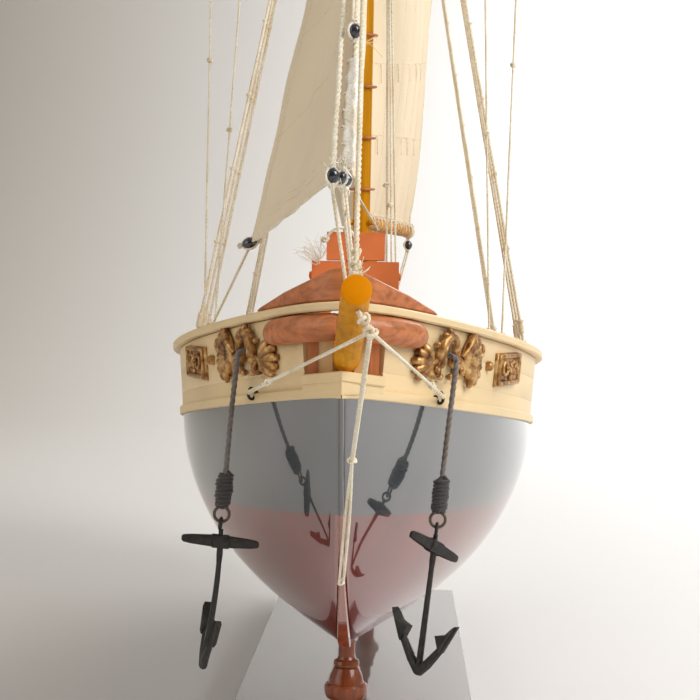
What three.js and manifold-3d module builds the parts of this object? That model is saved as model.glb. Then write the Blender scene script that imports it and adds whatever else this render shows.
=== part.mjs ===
// A two-masted display model of a sailing ship with gaff sails, on a base board with turned pedestals.
// Millimetres, +Z up, the bow towards -Y and the port side towards +X.
// The origin is the centre of the base board's underside.
// "s" below is the distance aft of the stem head, and y = s + BOW_Y.
import * as THREE from 'three';
import { mergeVertices } from 'three/addons/utils/BufferGeometryUtils.js';
import Module from 'manifold-3d';

const wasm = await Module();
wasm.setup();

// Driving dimensions of the hull
const GAP = 0.3;
const BOW_Y = -300;
const HULL_LENGTH = 640;
const HALF_BEAM = 79;
const FOREFOOT_S = 100;
const KEEL_Z = 72;
const GARBOARD_Z = 75;
const KEELSON_Z = 87;
const PLANK = 3;
const PLATE = 5;
const CENTRE_CLEAR = PLATE / 2 + GAP;
const BULWARK_HEIGHT = 28;
const BULWARK_FLARE = 2;
const DECK_ABOVE_EDGE = 4;
const DECK_THICKNESS = 2.5;
const RAIL_WIDTH = 9;
const RAIL_OVERHANG = 3;
const RAIL_THICKNESS = 3;
const OPENING_S = 11;
const LEDGE_THICKNESS = 6.2;

// Driving dimensions of the stand
const BASE = { width: 116, length: 440, height: 15, y: 0 };
const PEDESTAL_S = [105, 500];

// Driving dimensions of the rig
const FORE = { s: 185, radius: 3.9, head: 560, truck: 650, boom: 165, gaff: 110, boomZ: 247, gaffZ: 488 };
const MAIN = { s: 385, radius: 4.2, head: 590, truck: 692, boom: 312, gaff: 170, boomZ: 252, gaffZ: 505 };
const FORE_SWING = -8;
const MAIN_SWING = 5;
const GAFF_RISE = 35;
const SAIL = 1.2;
const STAY = 1.8;
const SHROUD_FEET = [8, 24, 40];
const SPRIT = { heel: [-2, 62, 180], tip: [7.5, -105, 213], heelR: 4.6, tipR: 4.1 };
const YARD = { z: 470, half: 86, radius: 2.6 };

// Driving dimensions of the ground tackle
const HAWSE = { s: 39.5, z: 191, off: 5.6 };
const CABLE = 2.2;
const ANCHOR = { ringZ: 132, length: 52, stock: 14, wire: 1.9, lean: 6 };
const RING = { radius: 2.7, wire: 0.55 };
const CABLE_LEAN = -5;
const HOOK_S = 37;

const { PI, sin, cos, abs } = Math;
const rad = THREE.MathUtils.degToRad;
const vec = (x, y, z) => new THREE.Vector3(x, y, z);
const at = (x, s, z) => vec(x, s + BOW_Y, z);
const mirrored = (p) => vec(-p.x, p.y, p.z);
const range = (n) => Array.from({ length: n }, (_, i) => i);
const span = (n, a, b) => range(n + 1).map((i) => a + ((b - a) * i) / n);

const PAINT = {
  grey: [0x5c666d, 0.2, 0], maroon: [0x6b201d, 0.15, 0], cream: [0xe8d8ac, 0.45, 0],
  mahogany: [0xa8653f, 0.45, 0], amber: [0xd69a22, 0.35, 0], red: [0xc8452a, 0.4, 0],
  gold: [0xb08a45, 0.35, 0.8], rope: [0xeadcbd, 0.9, 0], cable: [0x5e4b55, 0.85, 0],
  iron: [0x28241f, 0.55, 0.6], canvas: [0xe3d5b8, 0.95, 0], turned: [0x8c4117, 0.3, 0],
  board: [0xcfc9bd, 0.15, 0], deck: [0xcaa56c, 0.6, 0], ply: [0xc9a877, 0.8, 0],
};

const ship = new THREE.Group();

function add(name, geometry, paint, parent = ship) {
  const [color, roughness, metalness] = PAINT[paint];
  const mesh = new THREE.Mesh(geometry, new THREE.MeshStandardMaterial({ color, roughness, metalness }));
  mesh.name = name;
  parent.add(mesh);
  return mesh;
}

// ---- Closed solids from points ----

function signedVolume(points, faces) {
  return faces.reduce((sum, [a, b, c]) =>
    sum + points[a].dot(points[b].clone().cross(points[c])) / 6, 0);
}

function closedSolid(points, faces) {
  const inward = signedVolume(points, faces) < 0;
  const geometry = new THREE.BufferGeometry();
  geometry.setFromPoints(points);
  geometry.setIndex(faces.flatMap(([a, b, c]) => (inward ? [a, c, b] : [a, b, c])));
  return geometry;
}

// A plate between two grids of points, such as planking between its outer and inner faces
function patchSolid(outer, inner) {
  const rows = outer.length;
  const columns = outer[0].length;
  const points = [...outer.flat(), ...inner.flat()];
  const index = (side, i, j) => side * rows * columns + i * columns + j;
  const faces = [];
  const quad = (a, b, c, d) => faces.push([a, b, c], [a, c, d]);
  for (let i = 0; i < rows - 1; i++) {
    for (let j = 0; j < columns - 1; j++) {
      quad(index(0, i, j), index(0, i + 1, j), index(0, i + 1, j + 1), index(0, i, j + 1));
      quad(index(1, i, j), index(1, i, j + 1), index(1, i + 1, j + 1), index(1, i + 1, j));
    }
    quad(index(0, i, 0), index(1, i, 0), index(1, i + 1, 0), index(0, i + 1, 0));
    const j = columns - 1;
    quad(index(0, i, j), index(0, i + 1, j), index(1, i + 1, j), index(1, i, j));
  }
  for (let j = 0; j < columns - 1; j++) {
    quad(index(0, 0, j), index(0, 0, j + 1), index(1, 0, j + 1), index(1, 0, j));
    const i = rows - 1;
    quad(index(0, i, j), index(1, i, j), index(1, i, j + 1), index(0, i, j + 1));
  }
  return closedSolid(points, faces);
}

// Closed convex sections joined one to the next, and capped at both ends
function ringSolid(rings) {
  const n = rings[0].length;
  const faces = [];
  for (let i = 0; i < rings.length - 1; i++) {
    for (let j = 0; j < n; j++) {
      const [a, b] = [i * n + j, i * n + ((j + 1) % n)];
      faces.push([a, b, b + n], [a, b + n, a + n]);
    }
  }
  const last = (rings.length - 1) * n;
  for (let j = 1; j < n - 1; j++) faces.push([0, j + 1, j], [last, last + j, last + j + 1]);
  return closedSolid(rings.flat(), faces);
}

function circle(centre, across, up, radius, sides) {
  return range(sides).map((k) => centre.clone()
    .addScaledVector(across, radius * cos((2 * PI * k) / sides))
    .addScaledVector(up, radius * sin((2 * PI * k) / sides)));
}

// A straight round spar or rope through the given points, with a radius at each
function spar(stops, sides = 8) {
  const along = stops.at(-1)[0].clone().sub(stops[0][0]).normalize();
  const helper = abs(along.z) > 0.9 ? vec(1, 0, 0) : vec(0, 0, 1);
  const across = helper.clone().cross(along).normalize();
  const up = along.clone().cross(across);
  return ringSolid(stops.map(([point, radius]) => circle(point, across, up, radius, sides)));
}

const rope = (a, b, diameter = STAY, sides = 6) => spar([[a, diameter / 2], [b, diameter / 2]], sides);

function bentRod(points, diameter, steps, sides = 8) {
  const shape = new THREE.Shape(range(sides).map((k) => new THREE.Vector2(
    (diameter / 2) * cos((2 * PI * k) / sides), (diameter / 2) * sin((2 * PI * k) / sides))));
  const path = new THREE.CatmullRomCurve3(points);
  return new THREE.ExtrudeGeometry(shape, { steps, extrudePath: path, bevelEnabled: false });
}

function lathe(profile, segments = 20) {
  const geometry = new THREE.LatheGeometry(profile.map(([r, z]) => new THREE.Vector2(r, z)), segments);
  return geometry.rotateX(PI / 2);
}

function box(width, depth, height, x, y, z) {
  return new THREE.BoxGeometry(width, depth, height).translate(x, y, z + height / 2);
}

// An outline drawn in (y, z), made into a plate of the given thickness centred on x
function sidePlate(outline, thickness, x = 0) {
  const shape = new THREE.Shape(outline.map((p) => new THREE.Vector2(p.y, p.z)));
  const plate = new THREE.ExtrudeGeometry(shape, { depth: thickness, bevelEnabled: false });
  return plate.applyMatrix4(new THREE.Matrix4().makeBasis(vec(0, 1, 0), vec(0, 0, 1), vec(1, 0, 0)))
    .translate(x - thickness / 2, 0, 0);
}

// An outline drawn in (x, z), made into a plate that reaches from y to y + thickness
function crossPlate(outline, thickness, y) {
  const shape = new THREE.Shape(outline.map(([x, z]) => new THREE.Vector2(x, z)));
  const plate = new THREE.ExtrudeGeometry(shape, { depth: thickness, bevelEnabled: false });
  return plate.rotateX(PI / 2).translate(0, y + thickness, 0);
}

// ---- Booleans ----

function toManifold(geometry) {
  const bare = geometry.clone();
  bare.deleteAttribute('normal');
  bare.deleteAttribute('uv');
  const merged = mergeVertices(bare, 1e-4);
  return new wasm.Manifold(new wasm.Mesh({
    numProp: 3,
    vertProperties: new Float32Array(merged.attributes.position.array),
    triVerts: new Uint32Array(merged.index.array),
  }));
}

function fromManifold(solid) {
  const mesh = solid.getMesh();
  const geometry = new THREE.BufferGeometry();
  geometry.setAttribute('position', new THREE.BufferAttribute(new Float32Array(mesh.vertProperties), 3));
  geometry.setIndex(new THREE.BufferAttribute(new Uint32Array(mesh.triVerts), 1));
  return geometry;
}

const join = (...parts) => fromManifold(parts.map(toManifold).reduce((a, b) => a.add(b)));
const cut = (body, ...tools) => fromManifold(tools.map(toManifold)
  .reduce((a, b) => a.subtract(b), toManifold(body)));

// ---- Hull form ----

const sheerZ = (s) => (s < 330
  ? 176 + 31 * ((330 - s) / 330) ** 1.6
  : 176 + 20 * ((s - 330) / 310) ** 1.8);
const edgeZ = (s) => sheerZ(s) - BULWARK_HEIGHT - Math.max(0, 1 - s / 130);
const deckZ = (s) => edgeZ(s) + DECK_ABOVE_EDGE;
const footZ = (s) => GARBOARD_Z + (s > 430 ? 85 * ((s - 430) / 210) ** 1.8 : 0);
const stemS = (h) => FOREFOOT_S * (1 - (0.938 * h) ** (1 / 2.3));
const levelZ = (s, h) => footZ(s) + h * (edgeZ(s) - footZ(s));

function fullBreadth(s, h) {
  const fullness = (1 - Math.max(0, 1 - h) ** 1.8) ** 0.5;
  const run = s > 400 ? ((s - 400) / 240) ** 2 : 0;
  return HALF_BEAM * fullness * (1 - (0.26 + 0.5 * (1 - h)) * run);
}

// A point of the port planking's outer face: u runs from the stem to the transom, h from keel to deck edge
function hullPoint(u, h) {
  const s = stemS(h) + u * (HULL_LENGTH - stemS(h));
  const entrance = (s - stemS(h)) / (95 + 95 * h ** 0.7);
  const fill = sin((PI / 2) * Math.min(1, entrance)) ** 0.75;
  const x = CENTRE_CLEAR + Math.max(0, fullBreadth(s, h) - CENTRE_CLEAR) * fill;
  return at(x, s, levelZ(s, h));
}

function hullNormal(u, h) {
  const e = 0.002;
  const du = hullPoint(Math.min(1, u + e), h).sub(hullPoint(Math.max(0, u - e), h));
  const dh = hullPoint(u, Math.min(1, h + e)).sub(hullPoint(u, Math.max(0, h - e)));
  return du.cross(dh).normalize();
}

const uAt = (s) => (s - stemS(1)) / (HULL_LENGTH - stemS(1));
const uStations = (n, from = 0, to = 1) => span(n, from ** (1 / 1.5), to ** (1 / 1.5)).map((t) => t ** 1.5);

function planNormal(u) {
  const n = hullNormal(u, 1);
  return vec(n.x, n.y, 0).normalize();
}

// A point on the port bulwark: t runs from the deck edge to the rail, and out is measured off its outer face
function bulwarkPoint(u, t, out = 0) {
  const p = hullPoint(u, 1);
  const s = p.y - BOW_Y;
  const z = edgeZ(s) + GAP + t * (sheerZ(s) - edgeZ(s) - GAP);
  return vec(p.x + BULWARK_FLARE * t, p.y, z).addScaledVector(planNormal(u), out);
}

function mirrorGrid(grid) {
  return grid.map((row) => row.map(mirrored));
}

function addPair(name, outer, inner, paint) {
  add(`${name}_port`, patchSolid(outer, inner), paint);
  add(`${name}_starboard`, patchSolid(mirrorGrid(outer), mirrorGrid(inner)), paint);
}

function planking() {
  const levels = [0, 0.04, 0.12, 0.25, 0.42, 0.6, 0.8, 1];
  const outer = uStations(20).map((u) => levels.map((h) => hullPoint(u, h)));
  const inner = uStations(20).map((u) => levels.map((h) => {
    const p = hullPoint(u, h);
    const q = p.clone().addScaledVector(hullNormal(u, h), -PLANK);
    const depth = Math.min(q.y, HULL_LENGTH + BOW_Y);
    return vec(Math.max(CENTRE_CLEAR, q.x), depth, h === 1 ? p.z : Math.min(q.z, p.z + PLANK));
  }));
  addPair('hull_planking', outer, inner, 'grey');
}

function bulwarks() {
  const stations = uStations(18, uAt(OPENING_S));
  const face = (out) => stations.map((u) => [0, 1].map((t) => bulwarkPoint(u, t, out)));
  addPair('bulwark', face(0), face(-PLANK), 'cream');
}

function capRails() {
  const edge = (out) => uStations(20).map((u) => {
    const p = bulwarkPoint(u, 1, out);
    return vec(Math.max(GAP, p.x), p.y, p.z + GAP);
  });
  const apex = (s) => at(GAP, s, sheerZ(0) + GAP);
  const outerEdge = [apex(-1.5), ...edge(RAIL_OVERHANG)];
  const innerEdge = [apex(7), ...edge(RAIL_OVERHANG - RAIL_WIDTH)];
  const level = (lift) => outerEdge.map((p, i) => [p, innerEdge[i]]
    .map((q) => vec(q.x, q.y, p.z + lift)));
  addPair('cap_rail', level(RAIL_THICKNESS), level(0), 'cream');
}

function backbone() {
  const stem = (offset) => span(10, 1, 0).map((h) => {
    const p = at(0, stemS(h), levelZ(stemS(h), h));
    const q = at(0, stemS(h - 0.02 < 0 ? 0.02 : h - 0.02), levelZ(FOREFOOT_S, Math.max(0.02, h - 0.02)));
    const along = h < 0.05 ? vec(0, 1, 0) : q.sub(p).normalize();
    return p.add(vec(0, along.z, -along.y).multiplyScalar(offset));
  });
  const counter = (lift) => span(5, 562, HULL_LENGTH).map((s) => at(0, s, footZ(s) + lift));
  const deadwood = span(5, 545, 440).map((s) => at(0, s, Math.max(KEELSON_Z, footZ(s) + 8)));
  const outline = [...stem(3), at(0, 562, KEEL_Z), ...counter(-1), ...counter(8).reverse(), ...deadwood,
    ...stem(-11).reverse()];
  outline.forEach((p) => { p.z = Math.max(p.z, KEEL_Z); });
  outline[0].z = edgeZ(0) - GAP;
  outline.at(-1).z = edgeZ(0) - GAP;
  add('keel_backbone', sidePlate(outline, PLATE), 'maroon');
}

function bulkhead(name, s) {
  const thickness = 4;
  const keelsonZ = Math.max(KEELSON_Z, footZ(s + thickness) + 8) + 1.2;
  const levels = span(6, (keelsonZ - footZ(s)) / (edgeZ(s) - footZ(s)), 1);
  const side = levels.map((h) => {
    const u = (s + thickness - stemS(h)) / (HULL_LENGTH - stemS(h));
    const inset = hullPoint(u, h).addScaledVector(hullNormal(u, h), -PLANK - 5);
    const z = h === 1 ? deckZ(s) - DECK_THICKNESS - 1 : levelZ(s, h);
    return [inset.x - abs(z - inset.z) * 0.9, z];
  });
  const outline = [...side, ...side.map(([x, z]) => [-x, z]).reverse()];
  add(name, crossPlate(outline, thickness, s + BOW_Y), 'ply');
}

function mainDeck() {
  const camber = 1.5;
  const surface = (drop) => uStations(16, uAt(20), uAt(HULL_LENGTH - 1)).map((u) => {
    const edge = bulwarkPoint(u, 0.1, -PLANK - 0.4);
    return span(4, -1, 1).map((f) => vec(edge.x * f, edge.y,
      deckZ(edge.y - BOW_Y) + camber * (1 - f * f) - drop));
  });
  const holes = [FORE, MAIN].map(({ s, radius }) =>
    new THREE.CylinderGeometry(radius + GAP, radius + GAP, 30, 16)
      .rotateX(PI / 2).translate(0, s + BOW_Y, deckZ(s)));
  add('main_deck', cut(patchSolid(surface(0), surface(DECK_THICKNESS)), ...holes), 'deck');
}

function transom() {
  const foot = hullPoint(1, 0);
  const side = [0.25, 0.6, 1].map((h) => hullPoint(1, h)).map((p) => [p.x, p.z]);
  const rail = bulwarkPoint(1, 1);
  const half = [[foot.x, foot.z - 1], ...side, [rail.x, rail.z]];
  const outline = [...half, ...half.map(([x, z]) => [-x, z]).reverse()];
  add('transom', crossPlate(outline, 3.5, HULL_LENGTH + BOW_Y + GAP), 'cream');
}

function rudder() {
  const s = 566;
  const blade = sidePlate([[1, 74], [32, 76], [35, 98], [24, 108], [1, 106]]
    .map(([aft, z]) => at(0, s + aft, z)), 4);
  const stock = new THREE.CylinderGeometry(2.2, 2.2, 32, 12).rotateX(PI / 2).translate(0, s + BOW_Y, 90);
  add('rudder', join(blade, stock), 'maroon');
}

// ---- Bow fittings ----

// A solid that follows the bulwark's face between two distances aft, for the carvings and the ledge
function onBulwark(name, from, to, low, high, out, steps, paint) {
  const face = (off) => span(steps, uAt(from), uAt(to)).map((u) => [low, high].map((t) =>
    bulwarkPoint(u, t, off)));
  addPair(name, face(out), face(GAP), paint);
}

function bowLedge() {
  const z = edgeZ(0) + GAP;
  const inside = 3;
  const lip = hullPoint(uAt(OPENING_S - 0.5), 1);
  const front = [at(0, -2.5, 0), at(4.5, 0.8, 0), vec(lip.x + 1.5, lip.y - 1, 0)];
  const back = [vec(lip.x + 0.5, lip.y, 0), at(6, OPENING_S + inside, 0), at(0, OPENING_S + inside, 0)];
  const half = [...front, ...back];
  const outline = [...half, ...half.slice(1, -1).map(mirrored).reverse()];
  const shape = new THREE.Shape(outline.map((p) => new THREE.Vector2(p.x, p.y)));
  const slab = new THREE.ExtrudeGeometry(shape, { depth: LEDGE_THICKNESS, bevelEnabled: false });
  add('bow_ledge', slab.translate(0, 0, z), 'cream');
}

function knightheads() {
  const z = edgeZ(0) + GAP + LEDGE_THICKNESS + GAP;
  const height = sheerZ(OPENING_S) - z - GAP;
  for (const [side, sign] of [['port', 1], ['starboard', -1]]) {
    add(`knighthead_${side}`, box(3.2, 2.2, height, sign * 10.6, BOW_Y + OPENING_S - 1.4, z), 'mahogany');
  }
}

function bowChocks() {
  const section = [[GAP, -5], [3.4, -4.6], [5.6, -2.6], [6.3, 0], [5.6, 2.6], [3.4, 4.6], [GAP, 5]];
  const stations = [[0, 0.6], [2, 0.95], [8, 1], [16, 1], [20, 0.9], [22.5, 0.45]];
  const rings = stations.map(([s, size]) => section.map(([out, rise]) => {
    const p = bulwarkPoint(uAt(stemS(1) + s + 0.2), 1, GAP + (out - GAP) * size);
    return vec(Math.max(2, p.x), p.y, p.z - 5 + rise * size * 0.96);
  }));
  add('bow_chock_port', ringSolid(rings), 'mahogany');
  add('bow_chock_starboard', ringSolid(rings.map((ring) => ring.map(mirrored))), 'mahogany');
}

function breasthook() {
  const lift = GAP + RAIL_THICKNESS + 0.5;
  const stations = [[33, 1.2], [26, 3.2], [19, 4.9], [9, 7.4], [2.8, 11.3]];
  const half = stations.map(([s, height]) => {
    const u = uAt(s);
    const front = bulwarkPoint(u, 1, 0.5);
    const back = bulwarkPoint(u, 1, -10);
    back.x = Math.max(back.x, 0.5);
    return [front, back, back, front].map((p, k) =>
      vec(p.x, p.y, sheerZ(s) + lift + (k < 2 ? 0 : height)));
  });
  const rest = half.slice().reverse().map((ring) => ring.map(mirrored));
  add('bow_breasthook', ringSolid([...half, ...rest]), 'mahogany');
}

// A point near the eye that each bowsprit shroud is hooked to
function hookPoint(off, rise) {
  const u = uAt(HOOK_S);
  const p = hullPoint(u, 1).addScaledVector(planNormal(u), off);
  return vec(p.x, p.y, edgeZ(HOOK_S) + 3.5 + rise);
}

function shroudHooks() {
  const wire = 1.1;
  const loop = [[0.9, -1.2], [2.2, -2.2], [3.5, -1.2], [3.5, 0.8], [2.3, 1.6]];
  const points = loop.map(([off, rise]) => hookPoint(off, rise));
  add('shroud_hook_port', bentRod(points, wire, 10, 6), 'iron');
  add('shroud_hook_starboard', bentRod(points.map(mirrored), wire, 10, 6), 'iron');
}

function bowsprit() {
  const { heel, tip, heelR, tipR } = SPRIT;
  const [a, b] = [at(...heel), at(...tip)];
  const crown = b.clone().addScaledVector(b.clone().sub(a).normalize(), 0.8);
  const stops = [[a, heelR], [a.clone().lerp(b, 0.45), heelR], [b, tipR], [crown, tipR - 0.9]];
  add('bowsprit', spar(stops, 16), 'amber');
}

const spritPoint = (s) => {
  const t = (s - SPRIT.heel[1]) / (SPRIT.tip[1] - SPRIT.heel[1]);
  return at(...SPRIT.heel).lerp(at(...SPRIT.tip), t);
};

// ---- Deck fittings ----

function windlass() {
  const [s, y] = [118, 118 + BOW_Y];
  const z = deckZ(s) + 2 + GAP;
  const posts = [-13, 13].map((x) => box(6, 7, 227 - z, x, y, z));
  const lower = box(36, 9, 12, 0, y, 215);
  const upper = box(24, 10, 11.5, 0, y, 227.5);
  const neck = box(8, 6, 2, 0, y, 226.5);
  const eye = new THREE.CylinderGeometry(2.4, 2.4, 60, 12).rotateZ(PI / 2).translate(0, y, 193);
  add('windlass_frame', cut(join(...posts, lower, upper, neck), eye), 'red');
  const barrel = new THREE.CylinderGeometry(6, 6, 19, 10).rotateZ(PI / 2).translate(0, y, 193);
  const axle = new THREE.CylinderGeometry(2, 2, 44, 12).rotateZ(PI / 2).translate(0, y, 193);
  const drums = [-20.5, 20.5].map((x) => new THREE.CylinderGeometry(5, 5, 6, 10).rotateZ(PI / 2)
    .translate(x, y, 193));
  add('windlass_barrel', join(barrel, axle, ...drums), 'red');
}

function deckHouses() {
  const seat = (s) => deckZ(s) + 1.5 + GAP;
  const hatchZ = seat(240) + GAP;
  add('fore_hatch', box(40, 34, 8, 0, 258 + BOW_Y, hatchZ), 'mahogany');
  const houseZ = seat(290) + GAP;
  add('deckhouse', box(58, 62, 22, 0, 325 + BOW_Y, houseZ), 'cream');
  add('deckhouse_roof', box(66, 70, 3, 0, 325 + BOW_Y, houseZ + 22 + GAP), 'mahogany');
  const standZ = seat(590) + GAP;
  const axleZ = standZ + 20;
  const y = 572 + BOW_Y;
  const stand = join(box(12, 8, 24, 0, y, standZ), new THREE.CylinderGeometry(1.2, 1.2, 5, 10)
    .translate(0, y - 6, axleZ));
  add('steering_stand', stand, 'mahogany');
  const rim = new THREE.LatheGeometry([[8.5, -1.2], [11, -1.2], [11, 1.2], [8.5, 1.2], [8.5, -1.2]]
    .map(([r, h]) => new THREE.Vector2(r, h)), 20);
  const hub = new THREE.CylinderGeometry(3.2, 3.2, 2.4, 12);
  const spokes = range(4).map((k) => box(1.6, 1.6, 30, 0, 0, -15).rotateY((k * PI) / 4));
  const bore = new THREE.CylinderGeometry(1.5, 1.5, 6, 12);
  add('steering_wheel', cut(join(rim, hub, ...spokes), bore)
    .translate(0, y - 6.5, axleZ), 'mahogany');
}

// ---- Masts, booms, gaffs and sails ----

function mast(name, { s, radius, head, truck }) {
  const point = (z) => at(0, s, z);
  const topmast = radius * 0.62;
  add(name, spar([[point(KEELSON_Z + 0.5), radius * 0.9], [point(180), radius], [point(head - 60), radius * 0.86],
    [point(head), radius * 0.8], [point(head + 1), topmast], [point(truck - 4), topmast * 0.6],
    [point(truck - 3.5), topmast], [point(truck), topmast * 0.7]], 12), 'amber');
}

function gaffRig(prefix, dims, swing) {
  const rig = new THREE.Group();
  rig.position.set(0, dims.s + BOW_Y, 0);
  rig.rotation.z = rad(swing);
  ship.add(rig);
  const start = dims.radius + 1;
  const boomRise = 4;
  const boomEnd = vec(0, dims.boom, dims.boomZ + boomRise);
  const boomStart = vec(0, start, dims.boomZ);
  add(`${prefix}_boom`, spar([[boomStart, 2.6], [boomStart.clone().lerp(boomEnd, 0.5), 3.1],
    [boomEnd, 2.5]]), 'amber', rig);
  const slope = rad(GAFF_RISE);
  const gaffStart = vec(0, start, dims.gaffZ);
  const peak = vec(0, start + dims.gaff * cos(slope), dims.gaffZ + dims.gaff * sin(slope));
  add(`${prefix}_gaff`, spar([[gaffStart, 2.4], [peak, 1.9]]), 'amber', rig);
  const clear = 3.6;
  const corners = [vec(0, start + 2, dims.boomZ + clear), boomEnd.clone().add(vec(0, -8, clear)),
    peak.clone().add(vec(0, -4 * cos(slope), -clear - 3)), vec(0, start + 2, dims.gaffZ - clear)];
  add(`${prefix}sail`, sail(corners, swing > 0 ? -1 : 1, dims.boom * 0.07), 'canvas', rig);
}

// Four corners: tack, clew, peak and throat. The cloth bellies sideways between them.
function sail([tack, clew, peak, throat], side, belly) {
  const sheet = (x) => span(7, 0, 1).map((v) => span(6, 0, 1).map((u) => {
    const low = tack.clone().lerp(clew, u);
    const high = throat.clone().lerp(peak, u);
    const bulge = belly * sin(PI * Math.min(1, u ** 0.8)) * sin(PI * v) ** 0.8;
    return low.lerp(high, v).add(vec(x + side * bulge, 0, 0));
  }));
  return patchSolid(sheet(SAIL / 2), sheet(-SAIL / 2));
}

// Three corners, with the luff from tack to head and the clew blown to one side
function headSail(name, tack, clew, head, belly) {
  const side = clew.clone().sub(tack).cross(head.clone().sub(tack)).normalize();
  const tip = 0.06;
  const sheet = (off) => span(8, 0, 1 - tip).map((v) => span(4, 0, 1).map((u) => {
    const foot = tack.clone().lerp(clew, u);
    const bulge = belly * sin(PI * u) * sin(PI * v);
    return foot.lerp(head, v).addScaledVector(side, off + bulge);
  }));
  add(name, patchSolid(sheet(SAIL / 2), sheet(-SAIL / 2)), 'canvas');
}

function headSails() {
  headSail('starboard_jib', at(-1.5, -66, 246), at(-36, 45, 231.5), at(-1.5, 69, 408), 5);
  headSail('centre_jib', at(2.9, -58, 253), at(2.6, 52, 250), at(2.2, 92, 430), 2);
}

function foreYard() {
  const point = (x) => at(x, FORE.s - FORE.radius - YARD.radius - 1.2, YARD.z);
  add('fore_yard', spar([[point(-YARD.half), 1.5], [point(-30), YARD.radius], [point(30), YARD.radius],
    [point(YARD.half), 1.5]]), 'amber');
}

// ---- Standing rigging ----

function collar(x, s, z, bore, width = 1.6) {
  const profile = [[bore, -1], [bore + width, -1], [bore + width, 1], [bore, 1], [bore, -1]];
  return lathe(profile, 12).translate(x, s + BOW_Y, z);
}

function shroudGang(name, dims, sign, z, width) {
  const bore = dims.radius * 0.86 + GAP;
  const eye = (k) => at(sign * (bore + width - 0.5), dims.s + k, z);
  const feet = SHROUD_FEET.map((aft) => {
    const rail = bulwarkPoint(uAt(dims.s + aft), 1, -3.5);
    return vec(sign * rail.x, rail.y, rail.z + GAP + RAIL_THICKNESS + GAP);
  });
  const ropes = feet.map((foot, k) => rope(foot, eye(k - 1), STAY, 6));
  const deadeyes = feet.map((foot) => spar([[foot, 2.2], [foot.clone().add(vec(0, 0, 7)), 2.2]], 8));
  add(name, join(collar(0, dims.s, z, bore, width), ...ropes, ...deadeyes), 'rope');
}

function shrouds() {
  for (const [prefix, dims] of [['fore', FORE], ['main', MAIN]]) {
    shroudGang(`${prefix}_shrouds_port`, dims, 1, dims.head - 14, 3.6);
    shroudGang(`${prefix}_shrouds_starboard`, dims, -1, dims.head - 18, 1.6);
  }
}

// A ring round the bowsprit, square to it
function spritCollar(s, width = 3) {
  const bore = SPRIT.tipR + 0.5;
  const profile = [[bore, -width / 2], [bore + 1.8, -width / 2], [bore + 1.8, width / 2], [bore, width / 2],
    [bore, -width / 2]];
  const ring = new THREE.LatheGeometry(profile.map(([r, h]) => new THREE.Vector2(r, h)), 14);
  const along = at(...SPRIT.tip).sub(at(...SPRIT.heel)).normalize();
  const turn = new THREE.Quaternion().setFromUnitVectors(vec(0, 1, 0), along);
  const centre = spritPoint(s);
  return ring.applyQuaternion(turn).translate(centre.x, centre.y, centre.z);
}

function bowRigging() {
  const s = SPRIT.tip[1] + 6;
  const centre = spritPoint(s);
  const under = centre.clone().add(vec(0, 0, -SPRIT.tipR - 1.4));
  const knotEnd = under.clone().add(vec(4.2, 0, -4.5));
  const knot = spar([[knotEnd, 2.2], [under.clone().add(vec(1, 0, -0.6)), 2.2]], 8);
  const heart = at(4.4, -14, 158);
  const foot = at(0, 35, 108.5);
  const stay = [rope(knotEnd, heart), rope(heart, foot.clone().add(vec(-0.9, -4.4, 1.5)), 1.2),
    rope(heart, foot.clone().add(vec(0.9, -4.4, 1.5)), 1.2)];
  const hook = hookPoint(5.2, 0.6);
  const guys = [hook, mirrored(hook)].map((p) => rope(knotEnd, p, 1.4));
  add('bow_rigging', join(spritCollar(s), knot, ...stay, ...guys), 'rope');
}

function headStays() {
  const bore = FORE.radius * 0.82 + GAP;
  const z = FORE.head - 6;
  const front = at(0, FORE.s - bore - 0.8, z);
  const s = SPRIT.tip[1] + 12;
  const seat = spritPoint(s).add(vec(0, 0, SPRIT.tipR + 1.3));
  const truck = at(0, FORE.s - FORE.radius * 0.62 - 1.4, FORE.truck - 8);
  const ropes = [rope(seat, front), rope(seat, truck, 1.4)];
  add('headstays', join(collar(0, FORE.s, z, bore), spritCollar(s), ...ropes), 'rope');
}

function mainStay() {
  const z = MAIN.head - 6;
  const bore = MAIN.radius * 0.82 + GAP;
  const front = at(0, MAIN.s - bore - 0.8, z);
  const back = at(0, FORE.s + FORE.radius * 0.82 + 1.2, FORE.head - 2);
  add('main_stay', join(collar(0, MAIN.s, z, bore), rope(front, back)), 'rope');
}

// ---- Ground tackle ----

function groundTackle(side, sign) {
  const point = (off, z, lean = 0) => {
    const p = bulwarkPoint(uAt(HAWSE.s), 0.45, off);
    return vec(sign * p.x + lean, p.y, z);
  };
  const { off, z } = HAWSE;
  const ringAt = point(off, ANCHOR.ringZ, CABLE_LEAN);
  const above = (rise) => ringAt.clone().add(vec(0.08 * rise, 0, rise));
  const path = [point(off - 0.7, z - 0.4), point(off + 0.2, z - 1), point(off + 0.4, z - 2.6),
    point(off + 0.3, z - 22, CABLE_LEAN * 0.38), above(14)];
  const seizing = spar([[above(3.6), 2], [above(9), 3], [above(15), 2.5]], 8);
  add(`anchor_cable_${side}`, join(bentRod(path, CABLE, 24), seizing), 'cable');
  const ring = new THREE.TorusGeometry(RING.radius, RING.wire, 6, 14).rotateX(PI / 2)
    .translate(...ringAt.toArray());
  add(`anchor_ring_${side}`, ring, 'iron');
  const hanger = new THREE.Group();
  hanger.position.copy(ringAt);
  hanger.rotation.set(0, rad(ANCHOR.lean), 0);
  ship.add(hanger);
  add(`anchor_${side}`, sign > 0 ? anchor(rad(46), rad(21)) : anchor(rad(12), 0), 'iron', hanger);
}

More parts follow.
